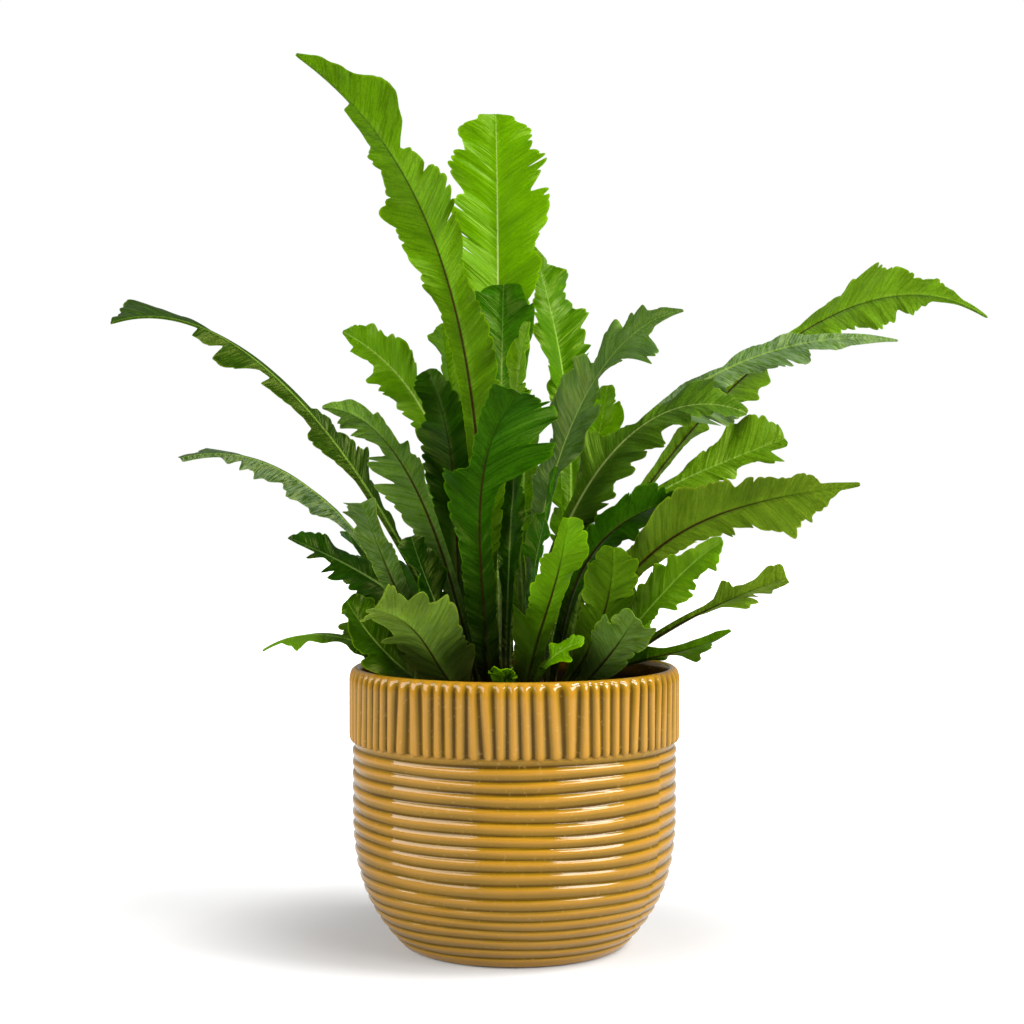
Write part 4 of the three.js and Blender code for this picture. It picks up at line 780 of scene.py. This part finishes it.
def colour(hex_code):
    """A colour as the shader reads it, from its usual hex code."""
    parts = [((hex_code >> shift) & 255) / 255 for shift in (16, 8, 0)]
    return tuple(v / 12.92 if v <= 0.04045 else ((v + 0.055) / 1.055) ** 2.4 for v in parts) + (1.0,)


class Look:
    """A material and its nodes."""

    def __init__(self, name):
        self.material = bpy.data.materials.new(name)
        self.material.use_nodes = True
        self.nodes = self.material.node_tree.nodes
        self.links = self.material.node_tree.links
        self.nodes.clear()
        self.output = self.nodes.new("ShaderNodeOutputMaterial")
        self.shader = self.nodes.new("ShaderNodeBsdfPrincipled")
        self.links.new(self.shader.outputs[0], self.output.inputs[0])

    def node(self, kind, inputs=None, **settings):
        made = self.nodes.new("ShaderNode" + kind)
        for key, value in settings.items():
            setattr(made, key, value)
        for key, value in (inputs or {}).items():
            self.feed(made.inputs[key], value)
        return made

    def feed(self, socket, value):
        if isinstance(value, bpy.types.NodeSocket):
            self.links.new(value, socket)
        else:
            socket.default_value = value

    def set(self, **values):
        for key, value in values.items():
            self.feed(self.shader.inputs[key.replace("_", " ")], value)

    def layer(self, name):
        return self.node("Attribute", attribute_name=name).outputs["Fac"]

    def math(self, operation, a, b=0.0, c=0.0, clamp=False):
        made = self.node("Math", operation=operation, use_clamp=clamp)
        for socket, value in zip(made.inputs, (a, b, c)):
            self.feed(socket, value)
        return made.outputs[0]

    def ramp(self, value, low, high):
        """0 at low and 1 at high, with a smooth step between them."""
        made = self.node("MapRange", interpolation_type="SMOOTHSTEP")
        self.feed(made.inputs["Value"], value)
        self.feed(made.inputs["From Min"], low)
        self.feed(made.inputs["From Max"], high)
        return made.outputs["Result"]

    def scaled(self, value, amount):
        return self.math("MULTIPLY", value, amount)

    def plus(self, a, b, clamp=False):
        return self.math("ADD", a, b, clamp=clamp)

    def mix(self, factor, a, b):
        made = self.node("Mix", data_type="RGBA")
        self.feed(made.inputs[0], factor)
        self.feed(made.inputs[6], a)
        self.feed(made.inputs[7], b)
        return made.outputs[2]

    def noise(self, scale, detail, vector=None):
        made = self.node("TexNoise", {"Scale": scale, "Detail": detail})
        self.feed(made.inputs["Vector"], vector or self.place())
        return made.outputs["Fac"]

    def place(self):
        """Where a point is on its own piece, in metres."""
        return self.node("TexCoord").outputs["Object"]

    def bump(self, height, distance, strength):
        made = self.node("Bump", {"Distance": distance, "Strength": strength, "Height": height})
        self.links.new(made.outputs[0], self.shader.inputs["Normal"])


# Dark and light green of each tone, and the green that shines through the blade
TONES = {
    "bright": (0x467600, 0x7AB400, 0x9CCB00),
    "mid": (0x325800, 0x649800, 0x8CB800),
    "dark": (0x123400, 0x346C02, 0x5E9600),
    "sage": (0x2C4E06, 0x5E861A, 0x7DA018),
    "olive": (0x3C5E06, 0x7C9C20, 0x9DB01E),
}
RIB_PALE = 0xC3D27A
RIB_BROWN = 0x2A1008
STALK_BASE = 0x1C1406
STALK_SHADE = 0x122004
BLOOM_AND_SHEEN = 0x8C9C84
AGED_GREEN = 0x6C8620
GLAZE_GROOVE = 0x4A3200
GLAZE_SIDE = 0x806000
GLAZE_CREST = 0xA8781A
GLAZE_SPECK = 0xC49A54
GLAZE_FOOT = 0x7C5E00
POT_INSIDE_SHADE = 0x1A1206
LEAF_SHINE = (0.85, 1.0, 0.15, 1)
GRAIN_SHADE = 0.32
RIDGE_SHADE = 0.5
VEIN_PALE_AND_SHEEN = 0.26
MARGIN_PALE_AND_BACKLIT = 0.4
SHINE_THROUGH = 0.26  # the share of the light that a blade lets through
GLAZE_SHINE = (1.0, 0.85, 0.5, 1)


def leaf_look(tone, under):
    dark, light, through = (colour(c) for c in TONES[tone])
    look = Look(f"leaf_{tone}_{'under' if under else 'upper'}")
    reach, part, share = look.layer("reach"), look.layer("part"), look.layer("share")
    vein, tone_and_shade = look.layer("vein"), look.layer("tone_and_shade")

    # Fine veins run out from the midrib, and broader bands follow them
    along = {"X": vein, "Y": look.scaled(part, 1.6), "Z": look.layer("number")}
    lines = look.node("CombineXYZ", along).outputs[0]
    fine = look.noise(0.55, 1, lines)
    hair = look.noise(1.5, 1, lines)
    broad = look.noise(0.13, 1, lines)
    patches = look.noise(45, 3)
    amount = look.scaled(look.plus(broad, -0.5), 0.9)
    amount = look.plus(amount, look.scaled(look.plus(patches, -0.5), 1.1))
    # darker toward the base: partly the young, lighter tissue near the tip, partly painted shade low in the
    # plant
    amount = look.plus(amount, look.scaled(look.ramp(share, 0.8, 0.35), -0.35))
    # the frond's light value sets its own tone and also paints light and shade on it
    amount = look.plus(amount, look.plus(tone_and_shade, 0.08), clamp=True)
    green = look.mix(amount, dark, light)
    green = look.mix(look.layer("aged"), green, colour(AGED_GREEN))
    # a light value below 0 darkens the frond toward painted shade
    green = look.mix(look.math("MULTIPLY", tone_and_shade, -1.0, clamp=True), green, colour(STALK_SHADE))
    grain = look.noise(1100, 3)
    green = look.mix(look.scaled(look.ramp(grain, 0.55, 0.4), GRAIN_SHADE), green, dark)
    ridge = look.ramp(look.math("ABSOLUTE", look.plus(fine, -0.5)), 0.07, 0.0)
    green = look.mix(look.scaled(ridge, RIDGE_SHADE), green, dark)
    # pale streaks along the veins: partly paler veins, partly a painted sheen
    green = look.mix(look.scaled(look.ramp(hair, 0.52, 0.7), VEIN_PALE_AND_SHEEN), green, light)
    # a paler margin, partly painted light shining through the thin edge
    green = look.mix(look.scaled(look.ramp(part, 0.93, 1.0), MARGIN_PALE_AND_BACKLIT), green, through)
    # bloom: a waxy grey tone laid in streaks along the veins, which partly paints a sheen
    waxy_sheen = look.scaled(look.layer("bloom"), look.ramp(hair, 0.3, 0.62))
    green = look.mix(waxy_sheen, green, colour(BLOOM_AND_SHEEN))

    # The midrib, pale above, and dark brown below on the lower half of the frond
    width = look.math("MULTIPLY_ADD", share, -0.8, 1.15)
    on_rib = look.ramp(reach, width, look.scaled(width, 0.5))
    if under:
        rib = look.mix(look.ramp(share, 0.6, 0.95), colour(RIB_BROWN), dark)
        strength = look.math("MULTIPLY_ADD", look.ramp(share, 0.7, 0.97), -0.7, 1.0)
    else:
        rib = look.mix(look.layer("pale"), light, colour(RIB_PALE))
        strength = look.math("MULTIPLY_ADD", look.ramp(share, 0.6, 0.97), -0.6, 0.9)
    skin = look.mix(look.scaled(on_rib, strength), green, rib)

    # Painted shade darkens the stalks low down, where they crowd between one another, and they are brown
    # where they leave the crown
    deep = look.scaled(look.ramp(vein, 90, 28), look.ramp(share, 0.62, 0.36))
    skin = look.mix(look.scaled(deep, 0.72), skin, colour(STALK_SHADE))
    skin = look.mix(look.scaled(look.ramp(vein, 34, 10), 0.85), skin, colour(STALK_BASE))

    look.set(Base_Color=skin, IOR=1.45, Specular_Tint=LEAF_SHINE)
    look.set(Specular_IOR_Level=0.2 if under else 0.32)
    look.set(Roughness=0.42 if under else 0.33)
    relief = look.plus(look.scaled(fine, 0.9), look.scaled(broad, 2.6))
    look.bump(look.plus(relief, look.scaled(hair, 0.2)), 0.0009, 0.8)
    glow = look.node("BsdfTranslucent", {"Color": look.mix(0.5, skin, through)})
    blend = look.node("MixShader", {"Fac": SHINE_THROUGH})
    look.links.new(look.shader.outputs[0], blend.inputs[1])
    look.links.new(glow.outputs[0], blend.inputs[2])
    look.links.new(blend.outputs[0], look.output.inputs[0])
    return look.material


def glaze_look():
    look = Look("mustard_glaze")
    # the crest layer: glaze pooled darker in the grooves, painted light on the upper part of each ring, and
    # painted shade inside the pot below 0
    crest = look.layer("crest")
    cloud = look.noise(28, 4)
    speck = look.noise(420, 2)
    height = look.plus(crest, look.scaled(look.plus(cloud, -0.5), 0.5), clamp=True)
    low = look.mix(look.ramp(height, 0.0, 0.5), colour(GLAZE_GROOVE), colour(GLAZE_SIDE))
    skin = look.mix(look.ramp(height, 0.45, 1.0), low, colour(GLAZE_CREST))
    skin = look.mix(look.scaled(look.ramp(speck, 0.6, 0.75), 0.16), skin, colour(GLAZE_SPECK))
    # painted shade inside the pot, below the lip
    skin = look.mix(look.ramp(crest, -0.2, -1.0), skin, colour(POT_INSIDE_SHADE))

    # The glaze is darker and duller toward the foot
    up = look.node("SeparateXYZ", {"Vector": look.place()}).outputs["Z"]
    skin = look.mix(look.scaled(look.ramp(up, 0.075, 0.01), 0.3), skin, colour(GLAZE_FOOT))
    look.set(Coat_Roughness=look.math("MULTIPLY_ADD", look.ramp(up, 0.06, 0.045), 0.12, 0.03))
    look.set(Base_Color=skin, Roughness=0.35, IOR=1.45, Specular_IOR_Level=0.05)
    look.set(Specular_Tint=GLAZE_SHINE, Coat_IOR=1.5)
    look.set(Coat_Weight=look.math("MULTIPLY_ADD", look.ramp(crest, 0.0, 0.5), 0.65, 0.2))
    look.bump(look.noise(90, 3), 0.0005, 0.25)
    return look.material


def rough_look(name, spots, low, high, roughness, grain, depth, strength):
    """A dull material whose colour goes from low to high with the spots, over a fine grain."""
    look = Look(name)
    factor = look.noise(*spots[:2])
    if len(spots) > 2:
        factor = look.ramp(factor, *spots[2:])
    look.set(Base_Color=look.mix(factor, colour(low), colour(high)), Roughness=roughness)
    look.bump(look.noise(*grain), depth, strength)
    return look.material


def floor_look():
    look = Look("pale_floor")
    skin = look.mix(look.noise(3, 2), (0.57, 0.57, 0.57, 1), (0.59, 0.59, 0.59, 1))
    look.set(Base_Color=skin, Roughness=0.9, Specular_IOR_Level=0.0)
    seen = look.node("LightPath").outputs["Is Camera Ray"]
    away = look.node("VectorMath", {0: look.place()}, operation="LENGTH").outputs["Value"]
    # painted light: for the camera the floor glows, weakly near the pot and up to white far off, so it is
    # darker round the pot like a shadow
    glow = look.math("MULTIPLY_ADD", look.ramp(away, 0.07, 0.18), 0.36, 0.1)
    glow = look.plus(glow, look.scaled(look.ramp(away, 0.2, 0.8), 0.7))
    look.set(Emission_Color=WHITE, Emission_Strength=look.scaled(seen, glow))
    return look.material


# The stage

def camera():
    data = bpy.data.cameras.new("camera")
    data.lens = CAMERA_LENS
    data.sensor_width = 36
    data.clip_start = 0.05
    data.clip_end = 50
    made = add("camera", data)
    made.location = CAMERA_PLACE
    made.rotation_euler = (math.radians(90 - CAMERA_DIP), 0, 0)
    bpy.context.scene.camera = made


def direction(azimuth, elevation):
    a, e = math.radians(azimuth), math.radians(elevation)
    return Vector((math.sin(a) * math.cos(e), -math.cos(a) * math.cos(e), math.sin(e)))


def soft_box(name, shape, azimuth, elevation, distance, size, power):
    """A light that faces the plant. Azimuth is from the camera's side, positive to the right. Distance and
    size are in metres."""
    data = bpy.data.lights.new(name, "AREA")
    data.shape = shape
    data.size, data.size_y = size
    data.energy = power
    made = add(name, data)
    back = direction(azimuth, elevation)
    made.location = Vector((0, 0, LIGHT_AIM_HEIGHT)) + back * distance
    made.rotation_euler = back.to_track_quat("Z", "Y").to_euler()


def studio():
    world = bpy.data.worlds.new("studio")
    world.use_nodes = True
    nodes, links = world.node_tree.nodes, world.node_tree.links
    light = nodes["Background"]
    light.inputs["Color"].default_value = WHITE
    light.inputs["Strength"].default_value = WORLD_LIGHT
    backdrop = nodes.new("ShaderNodeBackground")
    backdrop.inputs["Color"].default_value = WHITE
    seen = nodes.new("ShaderNodeLightPath").outputs["Is Camera Ray"]
    either = nodes.new("ShaderNodeMixShader")
    links.new(seen, either.inputs[0])
    links.new(light.outputs[0], either.inputs[1])
    links.new(backdrop.outputs[0], either.inputs[2])
    links.new(either.outputs[0], nodes["World Output"].inputs[0])
    bpy.context.scene.world = world

    sun = bpy.data.lights.new("sun", "SUN")
    sun.energy = SUN_LIGHT
    sun.angle = math.radians(SUN_WIDTH)
    add("sun", sun).rotation_euler = direction(*SUN_PLACE).to_track_quat("Z", "Y").to_euler()
    soft_box("window_left", "RECTANGLE", -62, 22, 1.2, (1.5, 0.6), 16)
    soft_box("window_right", "ELLIPSE", 56, 22, 1.2, (1.15, 0.4), 17)

    half = FLOOR_HALF_WIDTH / MM
    corners = [(-half, -half, 0), (half, -half, 0), (half, half, 0), (-half, half, 0)]
    floor = mesh_piece("floor", corners, [np.array([[0, 1, 2, 3]])], None, (floor_look(),))
    bpy.context.scene.view_settings.view_transform = "Standard"


camera()
studio()
leaf_looks = {tone: (leaf_look(tone, False), leaf_look(tone, True)) for tone in TONES}
clay = rough_look("bare_clay", (160, 4), 0xB79A78, 0xD8C2A0, 0.85, (900, 3), 0.0003, 0.5)
soil = rough_look("peat_soil", (260, 5, 0.35, 0.7), 0x15100B, 0x4A382A, 0.95, (700, 5), 0.0012, 0.8)
scale = rough_look("brown_scales", (220, 3), 0x24150B, 0x5A3A20, 0.7, (900, 2), 0.0003, 0.5)
pot_piece(glaze_look(), clay)
soil_piece(soil)
crumbs_piece(soil)
crown_piece(scale)
for seed, f in enumerate(FRONDS, 1):
    frond_piece(f, seed, leaf_looks[f["tone"]])
